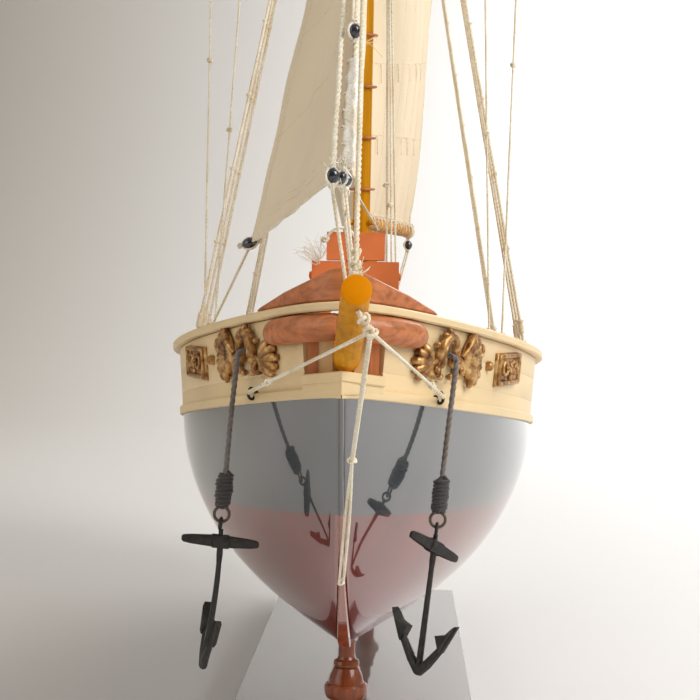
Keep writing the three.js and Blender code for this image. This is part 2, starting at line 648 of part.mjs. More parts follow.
// A stocked anchor below its ring's centre. Before it is turned, the stock lies across X and the arms
// across Y. The stock is loose in its hole, so it can sit tilted. The eye keeps its heading, so the ring
// passes through it.
function anchor(turn, tilt) {
  const { stock, wire, length } = ANCHOR;
  const eyeR = 2;
  const eyeZ = 0.7 - RING.radius - eyeR + RING.wire;
  const stockZ = eyeZ - 6.5;
  const crownZ = eyeZ - length;
  const eye = new THREE.TorusGeometry(eyeR, RING.wire, 6, 12).rotateY(PI / 2).translate(0, 0, eyeZ);
  const shank = spar([[vec(0, 0, eyeZ - eyeR), wire * 0.75], [vec(0, 0, crownZ), wire]], 8);
  const bar = spar([[vec(-stock, 0, stockZ), 1], [vec(-stock * 0.4, 0, stockZ), 2.1],
    [vec(stock * 0.4, 0, stockZ), 2.1], [vec(stock, 0, stockZ), 1]], 8)
    .translate(0, 0, -stockZ).rotateY(tilt).translate(0, 0, stockZ);
  const hub = box(5, 5, 4, 0, 0, stockZ - 2);
  const arm = (dir) => bentRod([[0, 0], [5, 5], [10, 11.5], [15, 18.5]]
    .map(([out, rise]) => vec(0, dir * out, crownZ + rise)), wire * 1.5, 6, 6);
  const palm = (dir) => ringSolid([-2.1, 2.1].map((x) => [[9.5, 9], [15.4, 19.6], [6.8, 14.4]]
    .map(([out, rise]) => vec(x, dir * out, crownZ + rise))));
  return join(eye, join(shank, bar, hub, arm(1), arm(-1), palm(1), palm(-1)).rotateZ(turn));
}

// ---- Stand ----

function stand() {
  const { width, length, height, y } = BASE;
  add('base_board', box(width, length, height, 0, y, 0), 'board');
  const z0 = height + GAP;
  const profile = [[0, 0], [14, 0], [14, 4], [9, 7], [6.5, 14], [5.2, 24], [5.2, 31], [8.6, 34.5],
    [8.9, 38.5], [7.3, 39.5], [4.1, 50.5], [3.5, 51.5], [3.5, KEEL_Z - GAP - z0], [0, KEEL_Z - GAP - z0]];
  PEDESTAL_S.forEach((s, k) => {
    const turned = lathe(profile, 20).translate(0, s + BOW_Y, z0);
    add(k === 0 ? 'pedestal_forward' : 'pedestal_aft', turned, 'turned');
  });
}

stand();
backbone();
bulkhead('bulkhead_forward', 225);
bulkhead('bulkhead_midship', 340);
bulkhead('bulkhead_aft', 465);
planking();
mainDeck();
bulwarks();
capRails();
transom();
rudder();
bowLedge();
knightheads();
bowChocks();
breasthook();
onBulwark('hawse_carving', 20, 58, 0.28, 0.6, 2.6, 6, 'gold');
onBulwark('bow_plaque', 70, 92, 0.22, 0.72, 2.2, 3, 'gold');
shroudHooks();
bowsprit();
windlass();
deckHouses();
mast('foremast', FORE);
mast('mainmast', MAIN);
gaffRig('fore', FORE, FORE_SWING);
gaffRig('main', MAIN, MAIN_SWING);
headSails();
foreYard();
shrouds();
bowRigging();
headStays();
mainStay();
groundTackle('port', 1);
groundTackle('starboard', -1);

export default ship;
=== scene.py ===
"""Looks for the model sailing ship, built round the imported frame.

Points are in millimetres in the part's own frame, and MM turns them into metres as a mesh is made.
"s" is the distance aft of the stem head, so y = s + BOW_Y. Port is +X, and the bow looks towards -Y.
"""
import random
from math import copysign, cos, exp, pi, radians, sin
from types import SimpleNamespace

import bmesh
import bpy
from mathutils import Matrix, Vector, noise


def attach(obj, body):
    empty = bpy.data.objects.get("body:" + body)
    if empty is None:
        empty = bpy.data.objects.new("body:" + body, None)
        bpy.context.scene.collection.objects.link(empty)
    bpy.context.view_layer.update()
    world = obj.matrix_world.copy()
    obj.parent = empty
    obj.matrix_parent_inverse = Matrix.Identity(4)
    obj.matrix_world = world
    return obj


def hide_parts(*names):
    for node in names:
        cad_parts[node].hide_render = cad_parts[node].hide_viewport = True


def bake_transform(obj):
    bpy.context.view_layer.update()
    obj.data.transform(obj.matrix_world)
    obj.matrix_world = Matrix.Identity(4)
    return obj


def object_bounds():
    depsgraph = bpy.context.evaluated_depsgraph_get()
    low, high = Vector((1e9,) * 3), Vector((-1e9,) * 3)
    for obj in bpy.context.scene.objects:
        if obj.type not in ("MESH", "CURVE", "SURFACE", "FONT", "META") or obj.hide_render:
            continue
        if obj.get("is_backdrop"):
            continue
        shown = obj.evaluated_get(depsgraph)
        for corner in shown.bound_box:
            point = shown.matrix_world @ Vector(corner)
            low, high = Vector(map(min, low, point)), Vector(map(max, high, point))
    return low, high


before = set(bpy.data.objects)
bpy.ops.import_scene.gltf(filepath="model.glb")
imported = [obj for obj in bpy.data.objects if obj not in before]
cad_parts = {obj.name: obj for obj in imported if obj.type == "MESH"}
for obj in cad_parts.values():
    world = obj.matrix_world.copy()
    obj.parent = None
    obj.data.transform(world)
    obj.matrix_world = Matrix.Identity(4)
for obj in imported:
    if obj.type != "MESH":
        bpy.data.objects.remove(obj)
CAD_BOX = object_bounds()
MM = 0.001

# ---- Dimensions that repeat part.mjs ----
BOW_Y = -300.0
HULL_LENGTH = 640.0
HALF_BEAM = 79.0
FOREFOOT_S = 100.0
GARBOARD_Z = 75.0
KEEL_Z = 72.0
KEELSON_Z = 87.0
PLANK = 3.0
CENTRE_CLEAR = 2.8
BULWARK_HEIGHT = 28.0
BULWARK_FLARE = 2.0
OPENING_S = 11.0
SPRIT_HEEL = (-2.0, 62.0, 180.0)
SPRIT_TIP = (7.5, -105.0, 213.0)
SPRIT_R = (4.6, 4.1)
FORE = SimpleNamespace(s=185.0, radius=3.9, head=560.0, truck=650.0, boom=165.0, gaff=110.0, boom_z=247.0,
                       gaff_z=488.0, swing=-8.0)
MAIN = SimpleNamespace(s=385.0, radius=4.2, head=590.0, truck=692.0, boom=312.0, gaff=170.0, boom_z=252.0,
                       gaff_z=505.0, swing=5.0)
GAFF_RISE = 35.0
SHROUD_FEET = (8.0, 24.0, 40.0)
RATLINE_GAP = {"fore": 34, "main": 30}
REEFS = (0.16, 0.30)
YARD = SimpleNamespace(z=470.0, radius=2.6)
HAWSE = SimpleNamespace(s=39.5, z=191.0, off=5.6)
RING_Z = 132.0
CABLE_LEAN = -5.0
CABLE_WIDTH = 2.15
HOOK_S = 37.0
BOARD_TOP = 15.0
SIDES = (("port", 1), ("starboard", -1))


# ---- Hull form, as in part.mjs ----
def sheer_z(s):
    if s < 330:
        return 176 + 31 * ((330 - s) / 330) ** 1.6
    return 176 + 20 * ((s - 330) / 310) ** 1.8


def edge_z(s):
    return sheer_z(s) - BULWARK_HEIGHT - max(0.0, 1 - s / 130)


def deck_z(s):
    return edge_z(s) + 4


def foot_z(s):
    return GARBOARD_Z + (85 * ((s - 430) / 210) ** 1.8 if s > 430 else 0)


def stem_s(h):
    return FOREFOOT_S * (1 - (0.938 * h) ** (1 / 2.3))


def level_z(s, h):
    return foot_z(s) + h * (edge_z(s) - foot_z(s))


def full_breadth(s, h):
    run = ((s - 400) / 240) ** 2 if s > 400 else 0
    return HALF_BEAM * (1 - max(0.0, 1 - h) ** 1.8) ** 0.5 * (1 - (0.26 + 0.5 * (1 - h)) * run)


def hull_point(u, h):
    s = stem_s(h) + u * (HULL_LENGTH - stem_s(h))
    entrance = min(1.0, (s - stem_s(h)) / (95 + 95 * h ** 0.7))
    fill = sin(pi / 2 * entrance) ** 0.75
    x = CENTRE_CLEAR + max(0.0, full_breadth(s, h) - CENTRE_CLEAR) * fill
    return vec(x, s + BOW_Y, level_z(s, h))


def hull_normal(u, h):
    e = 0.002
    du = hull_point(min(1, u + e), h) - hull_point(max(0, u - e), h)
    dh = hull_point(u, min(1, h + e)) - hull_point(u, max(0, h - e))
    return du.cross(dh).normalized()


def u_at(s):
    return (s - stem_s(1)) / (HULL_LENGTH - stem_s(1))


def span(n, a, b):
    return [a + (b - a) * i / n for i in range(n + 1)]


def circle(n):
    return [2 * pi * k / n for k in range(n)]


def u_stations(n, low=0.0, high=1.0, power=1.5):
    return [t ** power for t in span(n, low ** (1 / power), high ** (1 / power))]


def plan_normal(u):
    n = hull_normal(u, 1)
    return vec(n.x, n.y, 0).normalized()


def bulwark_point(u, t, out=0.0):
    p = hull_point(u, 1)
    s = p.y - BOW_Y
    z = edge_z(s) + 0.3 + t * (sheer_z(s) - edge_z(s) - 0.3)
    return vec(p.x + BULWARK_FLARE * t, p.y, z) + plan_normal(u) * out


def on_side(s, z, out):
    """A point on the port bulwark at distance s aft and height z, lifted off its face."""
    t = (z - edge_z(s)) / (sheer_z(s) - edge_z(s))
    return bulwark_point(u_at(s), t, out)


def at(x, s, z):
    return vec(x, s + BOW_Y, z)


def vec(x, y, z):
    return Vector((x, y, z))


def rail_spot(s, sign, out, rise):
    """A point out from the bulwark's face and above its top, on either side."""
    p = bulwark_point(u_at(s), 1, out)
    return vec(sign * p.x, p.y, p.z + rise)


def mirror(p, sign=-1):
    return vec(sign * p[0], p[1], p[2])


def sprit_point(s):
    t = (s - SPRIT_HEEL[1]) / (SPRIT_TIP[1] - SPRIT_HEEL[1])
    return at(*SPRIT_HEEL).lerp(at(*SPRIT_TIP), t)


# ---- Camera, light and stage ----
def camera():
    data = bpy.data.cameras.new("camera")
    data.sensor_width = 36
    data.lens = 77.1
    data.clip_start = 0.02
    cam = bpy.data.objects.new("camera", data)
    yaw, pitch, roll = radians(1.99), radians(1.72), radians(1.2)
    turn = (Matrix.Rotation(yaw, 4, "Z") @ Matrix.Rotation(pi / 2 - pitch, 4, "X")
            @ Matrix.Rotation(roll, 4, "Z"))
    cam.matrix_world = Matrix.Translation(vec(20, -805, 209) * MM) @ turn
    bpy.context.scene.collection.objects.link(cam)
    bpy.context.scene.camera = cam


def area_light(name, place, aim, size, power, colour=(1, 1, 1)):
    data = bpy.data.lights.new(name, "AREA")
    data.shape = "RECTANGLE"
    data.size, data.size_y = size
    data.energy = power
    data.color = colour
    lamp = bpy.data.objects.new(name, data)
    lamp.location = place
    lamp.rotation_euler = (Vector(aim) - Vector(place)).to_track_quat("-Z", "Y").to_euler()
    bpy.context.scene.collection.objects.link(lamp)


def studio():
    world = bpy.data.worlds.new("studio")
    world.use_nodes = True
    world.node_tree.nodes["Background"].inputs[0].default_value = (1.0, 0.985, 0.96, 1)
    nodes, links = world.node_tree.nodes, world.node_tree.links
    place, axes = nodes.new("ShaderNodeTexCoord"), nodes.new("ShaderNodeSeparateXYZ")
    fade = nodes.new("ShaderNodeMapRange")
    for socket, value in (("From Min", -0.9), ("From Max", 0.3), ("To Min", 0.1), ("To Max", 0.6)):
        fade.inputs[socket].default_value = value
    links.new(place.outputs["Generated"], axes.inputs[0])
    links.new(axes.outputs["Y"], fade.inputs["Value"])
    links.new(fade.outputs[0], nodes["Background"].inputs[1])
    bpy.context.scene.world = world
    bpy.context.scene.view_settings.view_transform = "Standard"
    area_light("key", (1.5, -1.1, 1.5), (0, -0.1, 0.25), (1.3, 1.3), 40)
    area_light("fill", (-1.6, -1.3, 0.9), (0, -0.1, 0.25), (1.5, 1.5), 11, (1, 0.97, 0.93))
    area_light("back", (0.9, 1.9, 1.6), (0.3, 2.2, 0.2), (2.0, 1.2), 30)


def stage_sweep():
    """A paper floor that curves up into a wall behind the ship; metres."""
    front, start, radius, top, half = -6.0, 1.6, 1.2, 4.5, 6.0
    rows = [(front, 0.0), (start, 0.0)]
    rows += [(start + radius * sin(a), radius - radius * cos(a)) for a in span(16, 0.05, pi / 2)]
    rows += [(start + radius, top)]
    verts = [(x, y, z) for y, z in rows for x in (-half, half)]
    floor = bpy.data.meshes.new("floor")
    floor.from_pydata(verts, [], [(i, i + 1, i + 3, i + 2) for i in range(0, 2 * len(rows) - 2, 2)])
    floor.polygons.foreach_set("use_smooth", [True] * len(floor.polygons))
    paper = Finish("stage_paper", (0.8, 0.8, 0.8), 0.6)
    # Painted shade: the paper darkens towards -X, the left of the view, standing in for light falling off
    # across the sweep.
    across = paper.node("ShaderNodeSeparateXYZ", {"Vector": paper.place}).outputs["X"]
    spread = paper.node("ShaderNodeMapRange", {"Value": across, "From Min": -1.1,
                                               "From Max": 0.45}).outputs[0]
    paper.base(paper.ramp(spread, [(0, (0.53, 0.485, 0.42)), (1, (0.88, 0.87, 0.86))]))
    floor.materials.append(paper.material)
    sweep = bpy.data.objects.new("stage_sweep", floor)
    bpy.context.scene.collection.objects.link(sweep)
    sweep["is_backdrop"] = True


# ---- Material building ----
class Finish:
    """A node material with short calls for the nodes that the finishes share."""

    def __init__(self, name, colour, roughness=0.5, metallic=0.0, coat=0.0, coat_roughness=0.05, sheen=0.0,
                 specular=0.5):
        self.material = bpy.data.materials.new(name)
        self.material.use_nodes = True
        self.tree = self.material.node_tree
        self.shader = self.tree.nodes["Principled BSDF"]
        self.set("Base Color", (*colour, 1))
        self.set("Roughness", roughness)
        self.set("Metallic", metallic)
        self.set("Coat Weight", coat)
        self.set("Coat Roughness", coat_roughness)
        self.set("Sheen Weight", sheen)
        self.set("Specular IOR Level", specular)
        self.place = self.tree.nodes.new("ShaderNodeTexCoord").outputs["Object"]

    def set(self, socket, value):
        self.shader.inputs[socket].default_value = value

    def feed(self, socket, value):
        if isinstance(value, bpy.types.NodeSocket):
            self.tree.links.new(value, socket)
        else:
            socket.default_value = value

    def node(self, kind, inputs=(), **settings):
        made = self.tree.nodes.new(kind)
        for key, value in settings.items():
            setattr(made, key, value)
        for key, value in dict(inputs).items():
            self.feed(made.inputs[key], value)
        return made

    def stretched(self, scale):
        return self.node("ShaderNodeMapping", {"Vector": self.place, "Scale": scale}).outputs[0]

    def noise(self, vector, scale, detail=4.0, distortion=0.0):
        return self.node("ShaderNodeTexNoise", {"Vector": vector, "Scale": scale, "Detail": detail,
                                                "Distortion": distortion}).outputs["Fac"]

    def ramp(self, value, stops):
        made = self.node("ShaderNodeValToRGB", {"Fac": value})
        ramp = made.color_ramp
        while len(ramp.elements) < len(stops):
            ramp.elements.new(0.5)
        for element, (position, colour) in zip(ramp.elements, stops):
            element.position = position
            element.color = (*colour, 1)
        return made.outputs["Color"]

    def linear(self, value, gain, offset):
        return self.math("ADD", self.math("MULTIPLY", value, gain), offset)

    def math(self, operation, a, b=0.0, clamp=False):
        return self.node("ShaderNodeMath", {0: a, 1: b}, operation=operation, use_clamp=clamp).outputs[0]

    def mix(self, factor, a, b, blend="MIX"):
        colours = [(*v, 1) if isinstance(v, tuple) else v for v in (a, b)]
        made = self.node("ShaderNodeMix", data_type="RGBA", blend_type=blend)
        for index, value in ((0, factor), (6, colours[0]), (7, colours[1])):
            self.feed(made.inputs[index], value)
        return made.outputs[2]

    def base(self, output):
        self.feed(self.shader.inputs["Base Color"], output)

    def tint(self, tone, shading, amount=1.0):
        self.base(self.mix(amount, tone, shading, "MULTIPLY"))

    def rough(self, output):
        self.feed(self.shader.inputs["Roughness"], output)

    def bump(self, height, strength, distance):
        made = self.node("ShaderNodeBump", {"Height": height, "Strength": strength, "Distance": distance})
        self.feed(self.shader.inputs["Normal"], made.outputs[0])


def shade(colour, factor):
    return tuple(min(1.0, c * factor) for c in colour)


def wood(name, colour, grain, dark=0.62, light=1.25, roughness=0.4, coat=0.0, coat_roughness=0.1,
         specular=0.25):
    """Varnished or painted wood whose grain runs along one axis."""
    made = Finish(name, colour, roughness, coat=coat, coat_roughness=coat_roughness, specular=specular)
    along, across = 16, 420
    scale = tuple(along if axis == grain else across for axis in "xyz")
    fibres = made.noise(made.stretched(scale), 1.0, 2.5, 0.5)
    bands = made.noise(made.stretched(tuple(v * 0.16 for v in scale)), 1.0, 3.0, 1.4)
    tone = made.ramp(fibres, [(0.25, shade(colour, dark)), (0.5, colour), (0.78, shade(colour, light))])
    wide = made.ramp(bands, [(0.3, (0.78, 0.74, 0.7)), (0.7, (1.12, 1.1, 1.06))])
    made.tint(tone, wide)
    made.rough(made.linear(bands, 0.25, roughness - 0.12))
    made.bump(fibres, 0.25, 0.00012)
    return made.material


def paint(name, colour, roughness=0.45, coat=0.0, worn=0.06, specular=0.5):
    """Brushed paint with faint strokes, a little grime and slightly uneven gloss."""
    made = Finish(name, colour, roughness, coat=coat, specular=specular)
    strokes = made.noise(made.stretched((90, 30, 90)), 1.0, 5.0, 0.4)
    patches = made.noise(made.place, 35, 3.0)
    tone = made.ramp(patches, [(0.3, shade(colour, 1 - worn * 2)), (0.6, colour),
                               (0.9, shade(colour, 1 + worn))])
    grime = made.ramp(strokes, [(0.25, (0.86, 0.82, 0.76)), (0.45, (1, 1, 1))])
    made.tint(tone, grime, 0.5)
    made.rough(made.linear(patches, 0.2, roughness - 0.1))
    made.bump(strokes, 0.2, 0.0002)
    return made.material


GREY = (0.047, 0.054, 0.060)
MAROON = (0.17, 0.013, 0.007)
CREAM = (0.80, 0.605, 0.335)
MAHOGANY = (0.51, 0.18, 0.068)
AMBER = (0.66, 0.285, 0.002)
RED = (0.80, 0.215, 0.065)
GOLD = (0.62, 0.37, 0.14)
ROPE = (0.92, 0.83, 0.66)
# CANVAS is lightened as painted light, standing in for light shining through the thin sail cloth.
CANVAS = (0.88, 0.74, 0.53)


def hull_paint():
    """Gloss grey topsides over a gloss maroon bottom, parted at the painted waterline."""
    made = Finish("hull_paint", GREY, 0.25, coat=1.0, coat_roughness=0.03)
    made.set("Coat IOR", 2.5)
    axes = made.node("ShaderNodeSeparateXYZ", {"Vector": made.place})
    waterline, upsweep, forward, reach = 0.129, 0.0086, -0.19, 0.11
    rise = made.math("MULTIPLY", made.math("SUBTRACT", forward, axes.outputs["Y"]), 1 / reach, clamp=True)
    line = made.linear(made.math("POWER", rise, 1.5), upsweep, waterline)
    ragged = made.math("MULTIPLY", made.noise(made.place, 160, 2.0), 0.0008)
    above = made.math("GREATER_THAN", made.math("ADD", axes.outputs["Z"], ragged), line)
    off_centre = made.math("ABSOLUTE", axes.outputs["X"])
    stem, strip = (made.math("LESS_THAN", off_centre, half) for half in (0.00165, 0.0026))
    patches = made.noise(made.place, 24, 4.0)
    grey = made.ramp(patches, [(0.3, shade(GREY, 0.8)), (0.7, shade(GREY, 1.25))])
    maroon = made.ramp(patches, [(0.3, shade(MAROON, 0.75)), (0.7, shade(MAROON, 1.3))])
    topside = made.mix(stem, grey, (0.012, 0.012, 0.014))
    bottom = made.mix(strip, maroon, (0.30, 0.055, 0.02))
    made.base(made.mix(above, bottom, topside))
    waves = made.noise(made.stretched((14, 14, 30)), 1.0, 2.0)
    half_plank, half_seam = 0.0045, 0.00016
    seam = made.math("LESS_THAN", made.math("PINGPONG", axes.outputs["Z"], half_plank), half_seam)
    height = made.math("SUBTRACT", made.math("MULTIPLY", waves, 1.0), made.math("MULTIPLY", seam, 0.03))
    made.bump(height, 0.5, 0.0011)
    return made.material


def gilding():
    made = Finish("antique_gold", GOLD, 0.42, metallic=0.6)
    coarse = made.noise(made.place, 260, 5.0, 0.5)
    fine = made.noise(made.place, 900, 3.0)
    tone = made.ramp(coarse, [(0.32, (0.09, 0.035, 0.012)), (0.46, (0.36, 0.17, 0.05)), (0.6, GOLD),
                              (0.82, (0.85, 0.6, 0.3))])
    # Darker in the carving's hollows, found by pointiness: painted shade standing in for occlusion, and
    # partly the gilding's antique glaze.
    hollow = made.ramp(made.node("ShaderNodeNewGeometry").outputs["Pointiness"],
                       [(0.42, (0.12, 0.06, 0.03)), (0.5, (1, 1, 1))])
    made.tint(tone, hollow, 0.9)
    made.rough(made.linear(fine, 0.35, 0.2))
    made.bump(made.math("ADD", coarse, made.math("MULTIPLY", fine, 0.4)), 0.6, 0.0006)
    return made.material


def cordage(name, colour, scale=1500.0):
    made = Finish(name, colour, 0.9, sheen=0.3, specular=0.2)
    fuzz = made.noise(made.place, scale, 4.0)
    stain = made.noise(made.place, 60, 2.0)
    tone = made.ramp(fuzz, [(0.25, shade(colour, 0.6)), (0.5, colour), (0.8, shade(colour, 1.15))])
    age = made.ramp(stain, [(0.35, (0.84, 0.78, 0.66)), (0.6, (1, 1, 1))])
    made.tint(tone, age)
    made.bump(fuzz, 0.5, 0.0002)
    return made.material


def sailcloth():
    """Woven canvas with fine warp and weft, slubs and soft creases."""
    made = Finish("sailcloth", CANVAS, 0.92, sheen=0.2, specular=0.15)
    threads = {"Vector": made.place, "Scale": 1100, "Distortion": 1.2, "Detail": 1}
    warp, weft = (made.node("ShaderNodeTexWave", threads, bands_direction=way).outputs["Fac"] for way in "YZ")
    weave = made.math("MULTIPLY", made.math("ADD", warp, weft), 0.5)
    stain = made.noise(made.stretched((12, 12, 7)), 1.0, 4.0)
    tone = made.ramp(stain, [(0.3, shade(CANVAS, 0.86)), (0.55, CANVAS), (0.8, shade(CANVAS, 1.1))])
    lit = made.ramp(weave, [(0.0, (0.9, 0.87, 0.82)), (1.0, (1.04, 1.03, 1.02))])
    made.tint(tone, lit)
    creases = made.noise(made.stretched((60, 60, 26)), 1.0, 3.0, 1.0)
    made.bump(made.linear(weave, 0.12, creases), 0.35, 0.0008)
    return made.material


def deck_planking():
    """Scrubbed planks with dark caulked seams along the ship, and butts between them."""
    made = Finish("deck_planking", (0.52, 0.33, 0.14), 0.5)
    axes = made.node("ShaderNodeSeparateXYZ", {"Vector": made.place})
    width, length = 0.0055, 0.09
    seam = made.math("LESS_THAN", made.math("PINGPONG", axes.outputs["X"], width / 2), 0.00028)
    plank = made.math("FLOOR", made.math("DIVIDE", axes.outputs["X"], width))
    shift = made.math("FRACT", made.math("MULTIPLY", plank, 0.37))
    run = made.math("FRACT", made.math("ADD", made.math("DIVIDE", axes.outputs["Y"], length), shift))
    butt = made.math("LESS_THAN", run, 0.006)
    fibres = made.noise(made.stretched((900, 60, 900)), 1.0, 5.0)
    each = made.node("ShaderNodeTexWhiteNoise", {"W": plank}, noise_dimensions="1D").outputs["Value"]
    tone = made.ramp(fibres, [(0.25, (0.36, 0.21, 0.08)), (0.55, (0.55, 0.36, 0.16)),
                              (0.8, (0.66, 0.46, 0.23))])
    varied = made.mix(0.5, tone, made.ramp(each, [(0, (0.7, 0.66, 0.6)), (1, (1.15, 1.1, 1.05))]), "MULTIPLY")
    line = made.math("MAXIMUM", seam, butt)
    made.base(made.mix(line, varied, (0.03, 0.018, 0.01)))
    made.bump(made.math("SUBTRACT", made.math("MULTIPLY", fibres, 0.3), line), 0.5, 0.0002)
    return made.material


def mottled(name, colour, roughness, scale, detail, stops, strength, distance, uneven=0.0, coat_ior=None,
            **gloss):
    """A dark finish, mottled by one noise that also bumps the surface."""
    made = Finish(name, colour, roughness, **gloss)
    if coat_ior:
        made.set("Coat IOR", coat_ior)
    stretched = hasattr(scale, "__len__")
    cloud = made.noise(made.stretched(scale) if stretched else made.place, 1.0 if stretched else scale,
                       detail)
    made.base(made.ramp(cloud, stops))
    if uneven:
        made.rough(made.linear(cloud, uneven, 0.3))
    made.bump(cloud, strength, distance)
    return made.material


IRON_STOPS = [(0.3, (0.010, 0.009, 0.008)), (0.6, (0.03, 0.026, 0.022)), (0.85, (0.075, 0.05, 0.03))]
BOARD_STOPS = [(0.3, (0.03, 0.012, 0.009)), (0.6, (0.06, 0.024, 0.017)), (0.85, (0.09, 0.04, 0.028))]
BLOCK_STOPS = [(0.3, (0.006, 0.007, 0.010)), (0.8, (0.03, 0.032, 0.045))]
SATIN = dict(roughness=0.42, coat=0.25)
SPAR = dict(dark=0.72, light=1.18, roughness=0.5, specular=0.1)
GRAINS = (("x", "across", "yard"), ("y", "fore_aft", "spar"), ("z", "upright", "mast"))
M = {
    "hull": hull_paint(),
    "cream": paint("cream_paint", CREAM, 0.42, worn=0.04),
    # tan: the bow panels' paint, made lighter as painted light because the panels sit in the breasthook's
    # shade.
    "tan": paint("tan_panel_paint_with_painted_light", (0.86, 0.60, 0.28), 0.35, coat=0.3),
    "maroon": paint("maroon_paint", MAROON, 0.2, coat=1.0, worn=0.1),
    **{f"mahogany_{axis}": wood(f"mahogany_{way}", MAHOGANY, axis, **SATIN) for axis, way, _ in GRAINS},
    **{f"amber_{axis}": wood(f"amber_{use}", AMBER, axis, **SPAR) for axis, _, use in GRAINS},
    "end_grain": paint("sprit_end_varnish", (0.82, 0.27, 0.0005), 0.6, worn=0.1, specular=0.05),
    "red": paint("red_paint", RED, 0.42, worn=0.12),
    "gold": gilding(),
    "rope": cordage("cream_cord", ROPE),
    "thin_rope": cordage("fine_cord", shade(ROPE, 0.96)),
    "white_cord": cordage("white_cord", (0.97, 0.92, 0.82)),
    "cable": cordage("grey_cord", (0.21, 0.185, 0.175)),
    "dark_cable": cordage("tarred_seizing", (0.065, 0.058, 0.060)),
    "canvas": sailcloth(),
    "canvas_seam": cordage("seam_thread", shade(CANVAS, 0.93), 900),
    "iron": mottled("black_iron", (0.022, 0.019, 0.016), 0.5, 420, 5.0, IRON_STOPS, 0.6, 0.0003, uneven=0.4,
                    metallic=0.35),
    "ring_iron": paint("tarnished_ring", (0.10, 0.075, 0.04), 0.4, worn=0.2),
    "ply": wood("birch_ply", (0.62, 0.44, 0.25), "x", roughness=0.6),
    "deck": deck_planking(),
    "board": mottled("lacquered_board", (0.05, 0.02, 0.015), 0.3, (30, 9, 30), 4.0, BOARD_STOPS, 0.1, 0.0004,
                     coat_ior=1.8, coat=1.0, coat_roughness=0.03),
    "turned": wood("turned_wood", (0.19, 0.042, 0.010), "z", dark=0.55, light=1.5, roughness=0.3, coat=0.5,
                   coat_roughness=0.04),
    "black": mottled("block_black", (0.008, 0.009, 0.012), 0.16, 500, 3.0, BLOCK_STOPS, 0.15, 0.0002,
                     coat=1.0),
    "brass": Finish("polished_brass", (0.75, 0.5, 0.17), 0.25, metallic=1.0).material,
}
# The slot each finish goes in, and the round finishes whose facets are smoothed over.
SLOTS = {"cream": "cream_paint", "tan": "cream_paint", "red": "red_paint", "gold": "gilt", "brass": "gilt",
         "rope": "rope", "thin_rope": "rope", "white_cord": "rope", "cable": "cable_rope",
         "dark_cable": "cable_rope", "canvas": "canvas", "canvas_seam": "canvas", "iron": "iron",
         "ring_iron": "iron", "black": "iron", "turned": "turned_wood", "end_grain": "spar_varnish",
         "amber_x": "spar_varnish", "amber_y": "spar_varnish", "amber_z": "spar_varnish",
         "mahogany_x": "mahogany", "mahogany_y": "mahogany", "mahogany_z": "mahogany"}
ROUND = {"rope": 80, "thin_rope": 80, "white_cord": 80, "cable": 80, "dark_cable": 80, "canvas_seam": 80,
         "ring_iron": 80, "canvas": 60}
EDGE_ANGLE = 35


